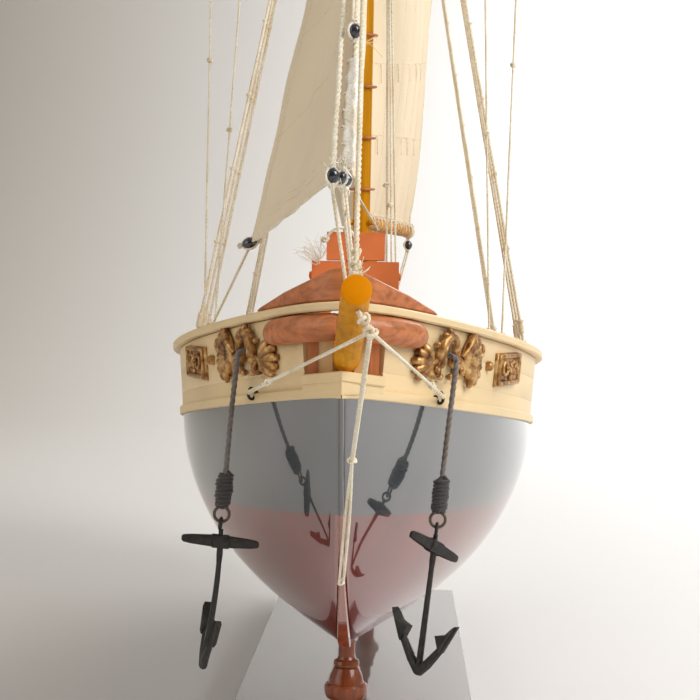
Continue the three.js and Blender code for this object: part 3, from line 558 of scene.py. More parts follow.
# ---- Mesh building ----
class Shape:
    """Vertices and faces that several simple forms are gathered into."""

    def __init__(self):
        self.verts, self.faces = [], []

    def add(self, verts, faces):
        start = len(self.verts)
        self.verts += [Vector(v) for v in verts]
        self.faces += [tuple(start + i for i in f) for f in faces]
        return self

    def rings(self, rings, loop=False):
        """Skins a run of rings, closed either with end caps or into a loop."""
        n = len(rings[0])
        faces = []
        turns = len(rings) if loop else len(rings) - 1
        for i in range(turns):
            for j in range(n):
                a, b = i * n + j, i * n + (j + 1) % n
                c, d = ((i + 1) % len(rings)) * n + (j + 1) % n, ((i + 1) % len(rings)) * n + j
                faces.append((a, b, c, d))
        if not loop:
            faces += [tuple(range(n))[::-1], tuple((len(rings) - 1) * n + j for j in range(n))]
        return self.add([p for ring in rings for p in ring], faces)

    def plate(self, outer, inner):
        rows, cols = len(outer), len(outer[0])
        k = rows * cols
        faces = []
        for i in range(rows - 1):
            for j in range(cols - 1):
                a, b = i * cols + j, (i + 1) * cols + j
                faces += [(a, b, b + 1, a + 1), (k + a, k + a + 1, k + b + 1, k + b)]
            for j, flip in ((0, False), (cols - 1, True)):
                a, b = i * cols + j, (i + 1) * cols + j
                faces.append((a, b, k + b, k + a) if flip else (a, k + a, k + b, b))
        for j in range(cols - 1):
            for i, flip in ((0, True), (rows - 1, False)):
                a = i * cols + j
                faces.append((a, a + 1, k + a + 1, k + a) if flip else (a, k + a, k + a + 1, a + 1))
        return self.add([p for row in outer for p in row] + [p for row in inner for p in row], faces)

    def tube(self, points, radii, sides=10, loop=False):
        points = [Vector(p) for p in points]
        if not hasattr(radii, "__len__"):
            radii = [radii] * len(points)
        rings = []
        for (p, across, up), r in zip(frames(points, loop), radii):
            rings.append([p + (across * cos(a) + up * sin(a)) * r for a in circle(sides)])
        return self.rings(rings, loop)

    def lathe(self, profile, centre, axis=(0, 0, 1), sides=24):
        """A profile of (radius, height) turned about an axis through centre."""
        axis = Vector(axis).normalized()
        across, up = square_to(axis)
        rings = [[Vector(centre) + axis * h + (across * cos(a) + up * sin(a)) * max(r, 0.01)
                  for a in circle(sides)] for r, h in profile]
        return self.rings(rings)

    def collar(self, centre, inner, outer, half, sides=20, axis=(0, 0, 1), edge=0.2):
        profile = [(inner, -half), (outer, edge - half), (outer, half - edge), (inner, half)]
        return self.lathe(profile, centre, axis, sides)

    def box(self, low, high, edge=0.6):
        """A block with chamfered edges."""
        (x0, y0, z0), (x1, y1, z1) = low, high

        def loop(inset, z):
            c = edge
            a, b, d, e = x0 + inset, y0 + inset, x1 - inset, y1 - inset
            return [(a + c, b, z), (d - c, b, z), (d, b + c, z), (d, e - c, z), (d - c, e, z), (a + c, e, z),
                    (a, e - c, z), (a, b + c, z)]

        return self.rings([loop(edge, z0), loop(0, z0 + edge), loop(0, z1 - edge), loop(edge, z1)])

    def ball(self, centre, radii, sides=12, rows=7, turn=None):
        turn = turn or Matrix.Identity(3)
        rings = []
        for i in range(1, rows):
            a = pi * i / rows
            rings.append([Vector(centre) + turn @ vec(radii[0] * sin(a) * cos(b), radii[1] * sin(a) * sin(b),
                                                      radii[2] * cos(a)) for b in circle(sides)])
        return self.rings(rings)

    def piece(self, name, finish, body="ship", slot=None, sharp=None):
        """Makes the mesh ride on a body. The slot argument is not used."""
        mesh = bpy.data.meshes.new(name)
        mesh.from_pydata([tuple(v * MM) for v in self.verts], [], self.faces)
        bm = bmesh.new()
        bm.from_mesh(mesh)
        bmesh.ops.recalc_face_normals(bm, faces=bm.faces)
        bm.to_mesh(mesh)
        bm.free()
        mesh.polygons.foreach_set("use_smooth", [True] * len(mesh.polygons))
        mesh.set_sharp_from_angle(angle=radians(sharp or ROUND.get(finish, EDGE_ANGLE)))
        mesh.materials.append(M[finish])
        obj = bpy.data.objects.new(name, mesh)
        bpy.context.scene.collection.objects.link(obj)
        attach(obj, body)
        slot or SLOTS[finish]
        return obj


def square_to(axis):
    """Two directions square to an axis and to each other."""
    across = axis.orthogonal().normalized()
    return across, axis.cross(across)


def frames(points, loop=False):
    """Each point with two directions square to the path, carried along it without twist."""
    n = len(points)
    tangents = []
    for i in range(n):
        a = points[(i - 1) % n] if loop or i > 0 else points[i]
        b = points[(i + 1) % n] if loop or i < n - 1 else points[i]
        tangents.append((b - a).normalized())
    across = tangents[0].orthogonal().normalized()
    made = []
    for p, t in zip(points, tangents):
        across = (across - t * across.dot(t)).normalized()
        made.append((p, across, t.cross(across)))
    return made


def smooth_path(points, step):
    """Points about step apart on a smooth curve through the given ones."""
    pts = [Vector(p) for p in points]
    if len(pts) == 2:
        n = max(1, round((pts[1] - pts[0]).length / step))
        return [pts[0].lerp(pts[1], i / n) for i in range(n + 1)]
    padded = [pts[0] * 2 - pts[1], *pts, pts[-1] * 2 - pts[-2]]
    made = [pts[0]]
    for i in range(1, len(padded) - 2):
        p0, p1, p2, p3 = padded[i - 1:i + 3]
        n = max(1, round((p2 - p1).length / step))
        for k in range(1, n + 1):
            t = k / n
            made.append(0.5 * ((2 * p1) + (p2 - p0) * t + (2 * p0 - 5 * p1 + 4 * p2 - p3) * t * t
                               + (3 * p1 - p0 - 3 * p2 + p3) * t ** 3))
    return made


def path_length(points):
    return sum((b - a).length for a, b in zip(points, points[1:]))


def laid_rope(shape, points, diameter, lay=1.25, steps=4, strands=3):
    """Strands wound round each other along a path; a crest comes every lay diameters. Returns the path."""
    crest = diameter * lay
    path = smooth_path(points, crest / steps)
    spots = frames(path)
    travel = [0.0]
    for a, b in zip(path, path[1:]):
        travel.append(travel[-1] + (b - a).length)
    rings = []
    for (p, across, up), gone in zip(spots, travel):
        twist = 2 * pi * gone / (crest * strands)
        ring = []
        for k in range(strands * 4):
            a = 2 * pi * k / (strands * 4)
            r = diameter / 2 * (1.0, 0.9, 0.66, 0.9)[k % 4]
            ring.append(p + (across * cos(a + twist) + up * sin(a + twist)) * r)
        rings.append(ring)
    shape.rings(rings)
    return path


def sagging(a, b, sag, n=8):
    return [Vector(a).lerp(Vector(b), i / n) + vec(0, 0, -4 * sag * (i / n) * (1 - i / n))
            for i in range(n + 1)]


def seizing(shape, a, b, radius, wire=0.5, seed=1):
    """Turns of thin line wound round a stretch of rope from a to b."""
    a, b = Vector(a), Vector(b)
    axis = (b - a).normalized()
    across, up = square_to(axis)
    turns = max(2, round((b - a).length / (wire * 1.9)))
    chance = random.Random(seed)
    points = []
    for k in range(turns * 10 + 1):
        t = k / (turns * 10)
        swell = radius * (1 + 0.12 * chance.uniform(-1, 1) + 0.18 * sin(pi * t))
        angle = 2 * pi * turns * t
        points.append(a.lerp(b, t) + (across * cos(angle) + up * sin(angle)) * swell)
    shape.tube(points, wire, 6)


def knot(shape, centre, size, wire, seed=1, turns=3):
    """A small overhand knot: a wire loop wound through itself."""
    chance = random.Random(seed)
    yaw, lean = chance.uniform(0, 6.28), chance.uniform(-0.6, 0.6)
    turn = Matrix.Rotation(yaw, 3, "Z") @ Matrix.Rotation(lean, 3, "X")
    points = []
    for k in range(turns * 14 + 1):
        a = 2 * pi * k / 14
        r = size * (0.62 + 0.3 * cos(a * 1.5))
        points.append(Vector(centre) + turn @ vec(r * cos(a), r * sin(a), size * 0.62 * sin(a * 1.5)))
    shape.tube(points, wire, 6)


camera()
studio()
stage_sweep()


# ---- Hull ----
def narrowed(p, u, h):
    """The planking closes in on the thin upper stem, clear of the wider keel."""
    pinch = 1.75 * min(1.0, max(0.0, (h - 0.12) / 0.35)) * (1 - u) ** 10
    return vec(p.x - pinch, p.y, p.z)


def hull():
    rows, cols = span(44, 0, 1), u_stations(84)
    skin = [[narrowed(hull_point(u, h), u, h) for h in rows] for u in cols]
    lining = []
    for i, u in enumerate(cols):
        line = []
        for j, h in enumerate(rows):
            p = skin[i][j] - hull_normal(min(max(u, 0.004), 0.996), min(max(h, 0.01), 0.99)) * PLANK
            line.append(vec(max(0.5, p.x), p.y, p.z))
        lining.append(line)
    for side, sign in SIDES:
        shape = Shape().plate([[mirror(p, sign) for p in row] for row in skin],
                              [[mirror(p, sign) for p in row] for row in lining])
        obj = shape.piece(f"hull_skin_{side}", "hull", slot="topside_paint", sharp=50)
        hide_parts(f"hull_planking_{side}")


def stem_line(h, offset):
    p = Vector((stem_s(h), level_z(stem_s(h), h)))
    q = Vector((stem_s(max(0.02, h - 0.02)), level_z(FOREFOOT_S, max(0.02, h - 0.02))))
    along = Vector((1, 0)) if h < 0.05 else (q - p).normalized()
    p += Vector((along.y, -along.x)) * offset
    return p.x, max(KEEL_Z, p.y)


def keel():
    def section(outer, inner, front, back):
        (so, zo), (si, zi) = outer, inner
        edge = 0.35
        mid = (so * 0.8 + si * 0.2, zo * 0.8 + zi * 0.2)
        half = [at(back, si, zi), at(back, *mid), at(front, so * 0.97 + si * 0.03, zo * 0.97 + zi * 0.03),
                at(front - edge, so, zo)]
        return half + [mirror(p) for p in reversed(half)]

    rings = []
    for h in span(40, 1, 0):
        grow = 1 - min(1.0, max(0.0, (h - 0.1) / 0.3))
        rings.append(section(stem_line(h, 3), stem_line(h, -11), 0.75 + 1.6 * grow, 1.0 + 1.5 * grow))
    for s in span(40, 112, 562):
        low = KEELSON_Z if s < 440 else max(KEELSON_Z, foot_z(s) + 8)
        rings.append(section((s, KEEL_Z), (s, low), 2.35, 2.5))
    for s in span(12, 562.1, 640):
        rings.append(section((s, foot_z(s) - 1), (s, foot_z(s) + 8), 2.35, 2.5))
    obj = Shape().rings(rings).piece("keel_and_stem", "hull", slot="keel_paint", sharp=40)
    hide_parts("keel_backbone")


def moulding(name, profile, stations, t=0, lift=0.0, nose=None):
    """A moulding swept along each bulwark, its (out, rise) profile set at height t of the boards.

    nose closes it at the stem: its least x, where it starts, the slope of its edges and its level.
    """
    made = []
    for side, sign in SIDES:
        rings, least = [], 0.0
        if nose:
            least, start, slope, level = nose
            wide = max(out for out, _ in profile)
            rings.append([mirror(at(least, start + (wide - out) * slope, level + rise), sign)
                          for out, rise in profile])
        for u in stations:
            spots = [(bulwark_point(u, t, out), rise) for out, rise in profile]
            rings.append([mirror((max(least, p.x), p.y, p.z + lift + rise), sign) for p, rise in spots])
        made.append(Shape().rings(rings).piece(f"{name}_{side}", "cream"))
    return made


def cap_rails():
    profile = [(3.0, 0.5), (3.0, 2.5), (2.5, 3.0), (-5.5, 3.0), (-6.0, 2.5), (-6.0, 0.5), (-5.5, 0.0),
               (2.5, 0.0)]
    nose = (0.3, -1.5, 0.95, sheer_z(0) + 0.3)
    for obj, (side, _) in zip(moulding("rail_cap", profile, u_stations(72), 1, 0.3, nose), SIDES):
        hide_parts(f"cap_rail_{side}")


def bead_and_strake():
    """The cream board along the foot of the bulwark, and the fine bead near its top."""
    board = [(-5.0, 0.4), (1.0, -0.6), (1.5, -0.2), (1.5, 2.6), (1.1, 3.1), (-5.0, 3.1)]
    moulding("rubbing_strake", board, u_stations(70, 0.0, u_at(638)), nose=(0.15, -2.0, 0.6, edge_z(0)))
    bead = [(0.1, 24.4), (0.55, 24.4), (0.9, 24.75), (0.9, 25.85), (0.55, 26.2), (0.1, 26.2)]
    moulding("sheer_bead", bead, span(60, u_at(27), u_at(638)))


def bulwark_skins():
    """Bulwark boards with a fine horizontal joint and closer stations than the solid ones."""
    for side, sign in SIDES:
        stations = u_stations(72, u_at(OPENING_S))
        rows = (0, 0.30, 0.315, 0.33, 0.66, 0.675, 0.69, 1)
        dips = (0, 0, -0.25, 0, 0, -0.25, 0, 0)
        outer = [[mirror(bulwark_point(u, t, d), sign) for t, d in zip(rows, dips)] for u in stations]
        inner = [[mirror(bulwark_point(u, t, -PLANK), sign) for t in rows] for u in stations]
        obj = Shape().plate(outer, inner).piece(f"bulwark_boards_{side}", "cream")
        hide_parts(f"bulwark_{side}")


def outline_slab(outline, z, height, edge=0.4):
    """A flat board with the given (x, y) outline and chamfered top and bottom edges."""
    centre = Vector((sum(p[0] for p in outline) / len(outline), sum(p[1] for p in outline) / len(outline)))

    def loop(inset, level):
        ring = []
        for x, y in outline:
            v = Vector((x, y)) - centre
            v = v * max(0.0, (v.length - inset) / v.length)
            ring.append(vec(centre.x + v.x, centre.y + v.y, level))
        return ring

    return [loop(edge, z), loop(0, z + edge), loop(0, z + height - edge), loop(edge, z + height)]


def bow_ledge():
    z = edge_z(0) + 0.3
    lip = hull_point(u_at(OPENING_S - 0.5), 1)

    def outline(grow):
        front = [(0, BOW_Y - 2.5 - grow), (4.5 + grow, BOW_Y + 0.8 - grow),
                 (lip.x + 1.5 + grow, lip.y - 1 - grow)]
        back = [(lip.x + 0.5 + grow, lip.y), (6, BOW_Y + 14), (0, BOW_Y + 14)]
        half = front + back
        return half + [(-x, y) for x, y in half[-2:0:-1]]

    shape = Shape()
    shape.rings(outline_slab(outline(0.0), z + 0.4, 3.0, 0.3))
    shape.rings(outline_slab(outline(0.6), z + 2.7, 3.5, 0.4))
    shape.verts = [vec(v[0], v[1], v[2] + 2.4 * max(0.0, 1 - abs(v[0]) / 15) * min(1, (v[2] - z - 0.4) / 2.3))
                   for v in shape.verts]
    obj = shape.piece("ledge_moulding", "cream")
    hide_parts("bow_ledge")
    low = edge_z(OPENING_S) + 6.8
    for side, sign in SIDES:
        panel = Shape()
        x0, x1 = sorted((sign * 3.6, sign * 8.9))
        panel.box((x0, BOW_Y + 9.4, low), (x1, BOW_Y + 10.6, sheer_z(OPENING_S) - 1), 0.2)
        # The bow panels' tan paint is lightened as painted light against the breasthook's shade.
        panel.piece(f"bow_panel_{side}", "tan")


def chocks():
    section = [(0.3, -5.0), (2.4, -5.0), (4.3, -4.2), (5.7, -2.6), (6.3, -0.6), (6.2, 1.4), (5.4, 3.2),
               (3.9, 4.5), (2.0, 5.0), (0.3, 5.0)]
    stations = [(0, 0.8), (0.5, 0.94), (1.2, 0.99), (3.2, 1), (6, 1), (9, 1), (12, 1), (15, 1), (17.6, 0.97),
                (19.6, 0.88), (21.2, 0.72), (22.2, 0.5), (22.6, 0.3)]
    for side, sign in SIDES:
        rings = []
        for s, size in stations:
            ring = []
            for out, rise in section:
                p = bulwark_point(u_at(stem_s(1) + s + 0.2), 1, 0.3 + (out - 0.3) * size)
                pinch = 4.8 * max(0.0, 1 - s / 8)
                ring.append(mirror((max(1.4, p.x - pinch), p.y, p.z - 5 + rise * size * 0.97), sign))
            rings.append(ring)
        obj = Shape().rings(rings).piece(f"chock_{side}", "mahogany_x", sharp=60)
        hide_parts(f"bow_chock_{side}")


def breasthook():
    lift = 0.3 + 3.0 + 0.5
    heights = [(33.4, 0.5), (32.6, 1.2), (31, 1.7), (26, 2.9), (19, 4.9), (9, 7.4), (2.8, 10.4), (1.2, 11.3)]
    half = []
    for s, height in heights:
        u = max(0.0, u_at(s))
        front, back = bulwark_point(u, 1, 0.6), bulwark_point(u, 1, -10)
        if s < 2.8:
            front, back = at(0.25, 1.6, 0), at(0.25, 12, 0)
        back.x = max(back.x, 0.5 if s >= 2.8 else 0.25)
        z = sheer_z(s) + lift
        edge = min(0.5, height / 3)
        ring = []
        for p, q in ((front, 0), (back, 1)):
            toward = (back - front).normalized() * (edge if q == 0 else -edge)
            pair = [(p + toward, 0.0), (p, edge), (p, height - edge), (p + toward, height)]
            pair = [vec(v.x, v.y, z + rise) for v, rise in pair]
            ring += pair if q == 0 else pair[::-1]
        half.append(ring)
    rest = [[mirror(p) for p in ring] for ring in reversed(half)]
    obj = Shape().rings(half + rest).piece("breasthook_crest", "mahogany_x", sharp=32)
    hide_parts("bow_breasthook")


# ---- Carved and gilded ornament ----
def carved(s0, z0, sign):
    """Returns a function that puts a point (aft, up, out) on the bulwark round (s0, z0)."""
    def put(aft, up, out):
        return mirror(on_side(s0 + aft, z0 + up, out), sign)
    return put


def volute(shape, put, centre, size, start, turns, way=1, thick=1.5):
    points, radii = [], []
    count = int(18 * turns)
    for k in range(count + 1):
        t = k / count
        r = size * (1 - 0.84 * t)
        a = start + way * 2 * pi * turns * t
        points.append(put(centre[0] + r * cos(a), centre[1] + r * sin(a), 1.3 + 1.5 * t))
        radii.append(thick * (1 - 0.45 * t))
    shape.tube(points, radii, 8)
    shape.ball(put(centre[0], centre[1], 2.9), (thick * 0.85,) * 3, 10, 6)


def lobes(shape, put, root, size, aim, spread, count, out=1.6, thick=1.35):
    """A fan of plump leaves from one root."""
    for k in range(count):
        a = aim + spread * (k / (count - 1) - 0.5)
        reach = size * (0.82 + 0.18 * cos(2.2 * (k / (count - 1) - 0.5)))
        points, radii = [], []
        for t in span(7, 0.08, 1):
            r = reach * t
            points.append(put(root[0] + r * cos(a), root[1] + r * sin(a),
                              out + 0.9 * sin(pi * t) - 0.7 * t))
            radii.append(thick * (0.45 + 0.75 * sin(pi * min(1, t * 0.9) ** 1.3)))
        shape.tube(points, radii, 8)


def carvings():
    for side, sign in SIDES:
        put = carved(HAWSE.s, 190.5, sign)
        shape = Shape()
        loop = [put(4.4 * cos(a), 1.5 + 6.2 * sin(a), 2.3 + 0.5 * sin(a))
                for a in span(26, -0.9, pi + 0.9)]
        shape.tube(loop, [1.0] + [1.75] * 25 + [1.0], 9)
        inner = [put(3.0 * cos(a), 1.2 + 4.6 * sin(a), 3.1) for a in span(20, -0.5, pi + 0.5)]
        shape.tube(inner, 0.7, 7)
        volute(shape, put, (7.6, -4.6), 3.9, 2.4, 1.5, -1)
        volute(shape, put, (-6.6, -4.4), 3.4, 0.7, 1.4, 1)
        lobes(shape, put, (9, -1), 15.5, 0.05, 1.5, 6, thick=1.75)
        lobes(shape, put, (15, -3.5), 9, -0.5, 1.7, 5, out=2.2, thick=1.3)
        lobes(shape, put, (-8, -1.5), 9.5, pi - 0.1, 1.6, 5, thick=1.6)
        lobes(shape, put, (0, 6.5), 4.2, pi / 2, 1.9, 3, out=2.0, thick=1.1)
        volute(shape, put, (22.5, 2.2), 3.4, 3.4, 1.3, 1, 1.2)
        for aft, up in ((5.9, 4.6), (-5.6, 4.8), (3.2, -7.2), (-2.6, -7.0)):
            shape.ball(put(aft, up, 1.4), (1.3, 1.3, 1.3), 10, 6)
        obj = shape.piece(f"hawse_scrollwork_{side}", "gold", sharp=80)
        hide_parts(f"hawse_carving_{side}")

        stud = Shape().ball(carved(73.5, 186.5, sign)(0, 0, 0.7), (2.0, 2.0, 2.0), 14, 8)
        stud.piece(f"gilt_stud_{side}", "gold")

        put = carved(94, 184.6, sign)
        plaque = Shape()

        def grid(out, half_s, half_z):
            return [[put(a, b, out) for b in span(3, -half_z, half_z)] for a in span(8, -half_s, half_s)]

        plaque.plate(grid(1.3, 13, 6.3), grid(0.05, 13.4, 6.7))
        corners = [(-12, -5.4), (12, -5.4), (12, 5.4), (-12, 5.4)]
        frame_line = []
        for (a0, b0), (a1, b1) in zip(corners, corners[1:] + corners[:1]):
            for t in span(6, 0, 1)[:-1]:
                frame_line.append(put(a0 + (a1 - a0) * t, b0 + (b1 - b0) * t, 1.6))
        plaque.tube(frame_line, 0.95, 7, loop=True)
        volute(plaque, put, (-5.6, 0.2), 3.4, 0.0, 1.6, 1, 0.95)
        volute(plaque, put, (5.6, 0.2), 3.4, pi, 1.6, -1, 0.95)
        lobes(plaque, put, (0, -2.4), 5.4, pi / 2, 1.3, 3, out=1.8, thick=0.8)
        plaque.ball(put(0, -3.4, 1.6), (1.1, 1.1, 1.1), 10, 6)
        obj = plaque.piece(f"scroll_plaque_{side}", "gold", sharp=80)
        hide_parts(f"bow_plaque_{side}")


hull()
keel()
bulwark_skins()
cap_rails()
bead_and_strake()
bow_ledge()
chocks()
breasthook()
carvings()


# ---- Ground tackle ----
def hawse_point(sign, off, z, lean=0.0):
    p = bulwark_point(u_at(HAWSE.s), 0.45, off)
    return vec(sign * p.x + lean, p.y, z)


def anchor_mesh(shape, place, turn, tilt, bend):
    """A stocked anchor hung from its eye, with straight arms and barbed palms."""
    spin = Matrix.Rotation(turn, 4, "Z")

    def put(x, y, z):
        sway = bend * sin(pi * min(1.0, max(0.0, -z / 52.0)))
        return place @ (spin @ vec(x, y, z) + vec(sway, 0, 0))

    eye_z = 0.7 - 2.7 - 2 + 0.55
    crown_z = eye_z - 52
    eye = [place @ vec(0, 2 * cos(a), eye_z + 2 * sin(a)) for a in circle(24)]
    shape.tube(eye, 0.6, 8, loop=True)
    shank, sizes = [], []
    for t in span(16, 0, 1):
        shank.append(put(0, 0, eye_z - 2 + (crown_z - eye_z + 2) * t))
        sizes.append((0.85 + 0.42 * t) * (1.25 if 0.1 < t < 0.2 else 1))
    shape.tube(shank, sizes, 8)
    stock_z = eye_z - 6.5
    level = Matrix.Rotation(tilt, 3, "Y")
    rings = []
    for x, deep, wide in ((-14.2, 0.7, 0.6), (-13.6, 1.35, 1.0), (-11, 1.75, 1.3), (-3.2, 2.25, 1.8),
                          (-3, 2.6, 2.2), (3, 2.6, 2.2), (3.2, 2.25, 1.8), (11, 1.75, 1.3), (13.6, 1.35, 1.0),
                          (14.2, 0.7, 0.6)):
        ring = []
        for a in circle(8):
            across, up = (copysign(abs(v) ** 0.6, v) for v in (cos(a), sin(a)))
            corner = level @ vec(x, wide * across, deep * up)
            ring.append(put(corner.x, corner.y, stock_z + corner.z))
        rings.append(ring)
    shape.rings(rings)
    for way in (1, -1):
        arm = []
        for out, rise, deep, wide in ((-0.6, -1.2, 1.0, 1.2), (0, -0.4, 2.0, 1.6), (4.2, 3.6, 1.9, 1.5),
                                      (9, 9.6, 1.5, 1.3), (13, 15.4, 1.0, 1.0), (15.6, 19.6, 0.25, 0.25)):
            lean = Vector((0.78, 0.62))
            ring = []
            for a in circle(8):
                off = deep * sin(a)
                ring.append(put(wide * cos(a), way * (out - lean.x * off), crown_z + rise + lean.y * off))
            arm.append(ring)
        shape.rings(arm)
        palm = []
        for x, grow in ((-2.3, 0.75), (-1.7, 1.0), (1.7, 1.0), (2.3, 0.75)):
            middle = (10.9, 14.2)
            ring = []
            for out, rise in ((9.6, 8.8), (15.4, 19.8), (12.2, 16.2), (7.0, 14.6)):
                ring.append(put(x, way * (middle[0] + (out - middle[0]) * grow),
                                crown_z + middle[1] + (rise - middle[1]) * grow))
            palm.append(ring)
        shape.rings(palm)


def ground_tackle(side, sign):
    off, z = HAWSE.off, HAWSE.z
    ring_at = hawse_point(sign, off, RING_Z, CABLE_LEAN)

    def above(rise):
        return ring_at + vec(0.08 * rise, 0, rise)

    body = f"cable_{side}"
    path = [hawse_point(sign, off - 3.4, z + 0.6), hawse_point(sign, off - 0.7, z + 0.2),
            hawse_point(sign, off + 0.2, z - 1), hawse_point(sign, off + 0.4, z - 3.2),
            hawse_point(sign, off + 0.35, z - 22, CABLE_LEAN * 0.38), above(14), above(3.2)]
    strand = Shape()
    line = laid_rope(strand, path, CABLE_WIDTH)
    cable = strand.piece(f"hawse_rope_{side}", "cable", body)
    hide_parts(f"anchor_cable_{side}")
    wraps = Shape()
    wraps.tube(smooth_path([above(15.6), above(14.5) + vec(1.6, -0.6, 0), above(9) + vec(1.7, -0.9, 0),
                            above(3.4) + vec(1.0, -0.4, 0)], 1.0), 0.9, 8)
    seizing(wraps, above(3.2), above(14.4), 2.2, 0.78, seed=5 + sign)
    knot(wraps, above(4.2), 2.5, 0.8, seed=11 + sign)
    knot(wraps, above(13.2), 2.3, 0.8, seed=17 + sign)
    bend = wraps.piece(f"cable_bend_{side}", "dark_cable", body)

    loop = Shape().tube([ring_at + vec(2.75 * cos(a), 0, 2.75 * sin(a)) for a in circle(36)], 0.58, 10,
                        loop=True)
    shackle = loop.piece(f"mooring_ring_{side}", "ring_iron", body)
    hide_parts(f"anchor_ring_{side}")

    place = Matrix.Translation(ring_at) @ Matrix.Rotation(radians(6), 4, "Y")
    turn, tilt, bow = (46, 21, 0.0) if sign > 0 else (12, 0, 1.3)
    shape = Shape()
    anchor_mesh(shape, place, radians(turn), radians(tilt), bow)
    bower = shape.piece(f"bower_anchor_{side}", "iron", f"bower_{side}", sharp=38)
    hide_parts(f"anchor_{side}")
    path_length(line) * MM


# ---- Rigging ----
def block(shape, strop, centre, size, hang=(0, 0, 1), seed=1):
    """A round black block in a rope strop, with a knot above it."""
    centre, hang = Vector(centre), Vector(hang).normalized()
    across, side = square_to(hang)
    turn = hang.to_track_quat("Z", "Y").to_matrix()
    shape.ball(centre, (size, size * 0.8, size), 18, 12, turn)
    loop = [centre + (hang * sin(a) + across * cos(a)) * size * 1.08
            for a in circle(22)]
    strop.tube(loop, 0.42, 7, loop=True)
    shape.ball(centre + side * size * 0.62, (size * 0.35,) * 3, 10, 6)
    knot(strop, centre + hang * size * 1.25, size * 0.42, 0.34, seed)
    knot(strop, centre - hang * size * 1.25, size * 0.42, 0.34, seed + 3)


def frayed(shape, end, aim, count, reach, wire, seed):
    """Loose fibres from the cut end of a line."""
    chance = random.Random(seed)
    for k in range(count):
        way = (Vector(aim).normalized() + Vector([chance.uniform(-0.8, 0.8) for _ in range(3)])).normalized()
        curl = Vector([chance.uniform(-1, 1) for _ in range(3)]) * reach * 0.25
        far = reach * chance.uniform(0.5, 1)
        shape.tube(smooth_path([Vector(end), Vector(end) + way * far * 0.5 + curl, Vector(end) + way * far],
                               reach / 5), wire, 5)


def hook_point(off, rise):
    p = hull_point(u_at(HOOK_S), 1) + plan_normal(u_at(HOOK_S)) * off
    return vec(p.x, p.y, edge_z(HOOK_S) + 3.5 + rise)


def shroud_hooks():
    loop = [(-1.0, -0.2), (0.9, -1.2), (2.2, -2.3), (3.5, -1.4), (3.6, 0.5), (2.7, 1.8), (1.7, 1.3)]
    for side, sign in SIDES:
        points = smooth_path([mirror(hook_point(o, r), sign) for o, r in loop], 0.5)
        shape = Shape().tube(points, 0.55, 8)
        shape.ball(mirror(hook_point(0.1, -0.4), sign), (1.3, 1.3, 1.3), 10, 6)
        obj = shape.piece(f"hook_wire_{side}", "iron", sharp=80)
        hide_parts(f"shroud_hook_{side}")


def bow_lines():
    s = SPRIT_TIP[1] + 6
    under = sprit_point(s) + vec(0, 0, -SPRIT_R[1] - 1.4)
    knot_end = under + vec(4.2, 0, -4.5)
    heart = at(4.4, -14, 158)
    foot = at(0, 35, 108.5)
    shape = Shape()
    knot(shape, under + vec(2.2, 0, -1.0), 1.7, 0.6, 2)
    laid_rope(shape, [under + vec(0.6, 0, 1.2), under + vec(2.2, 0, -1), knot_end], 1.5)
    knot(shape, knot_end, 1.9, 0.6, 8)
    laid_rope(shape, [knot_end, heart], 1.7)
    knot(shape, heart, 1.5, 0.45, 6)
    for way in (-1, 1):
        laid_rope(shape, [heart, heart.lerp(foot, 0.45) + vec(way * 0.75, 0, 0),
                          foot + vec(way * 0.75, -4.2, 1.2)], 1.15)
    knot(shape, foot + vec(0, -3.8, 0.8), 1.3, 0.4, 4)
    obj = shape.piece("bobstay", "rope")
    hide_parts("bow_rigging")
    for side, sign in SIDES:
        guy = Shape()
        hook = mirror(hook_point(3.7, 0.5), sign)
        stop = knot_end.lerp(hook, 0.8)
        laid_rope(guy, [knot_end, stop, hook], 1.2)
        laid_rope(guy, [stop + vec(0, 0.4, -0.4), hook + vec(0, -0.3, -0.8)], 0.75)
        knot(guy, stop, 1.25, 0.42, 5 + sign)
        knot(guy, hook, 0.8, 0.35, 9 + sign)
        frayed(guy, stop, (sign * 0.6, -0.3, -0.6), 3, 4, 0.12, 30 + sign)
        guy.piece(f"bowsprit_guy_{side}", "rope")
    end = Shape()
    axis = (at(*SPRIT_TIP) - at(*SPRIT_HEEL)).normalized()
    tip = at(*SPRIT_TIP) + axis * 0.82
    end.lathe([(SPRIT_R[1] + 0.06, -0.9), (SPRIT_R[1] + 0.05, -0.1), (SPRIT_R[1] - 0.25, 0.1), (0.02, 0.16)],
              tip, axis, 32)
    end.piece("sprit_end_face", "end_grain")


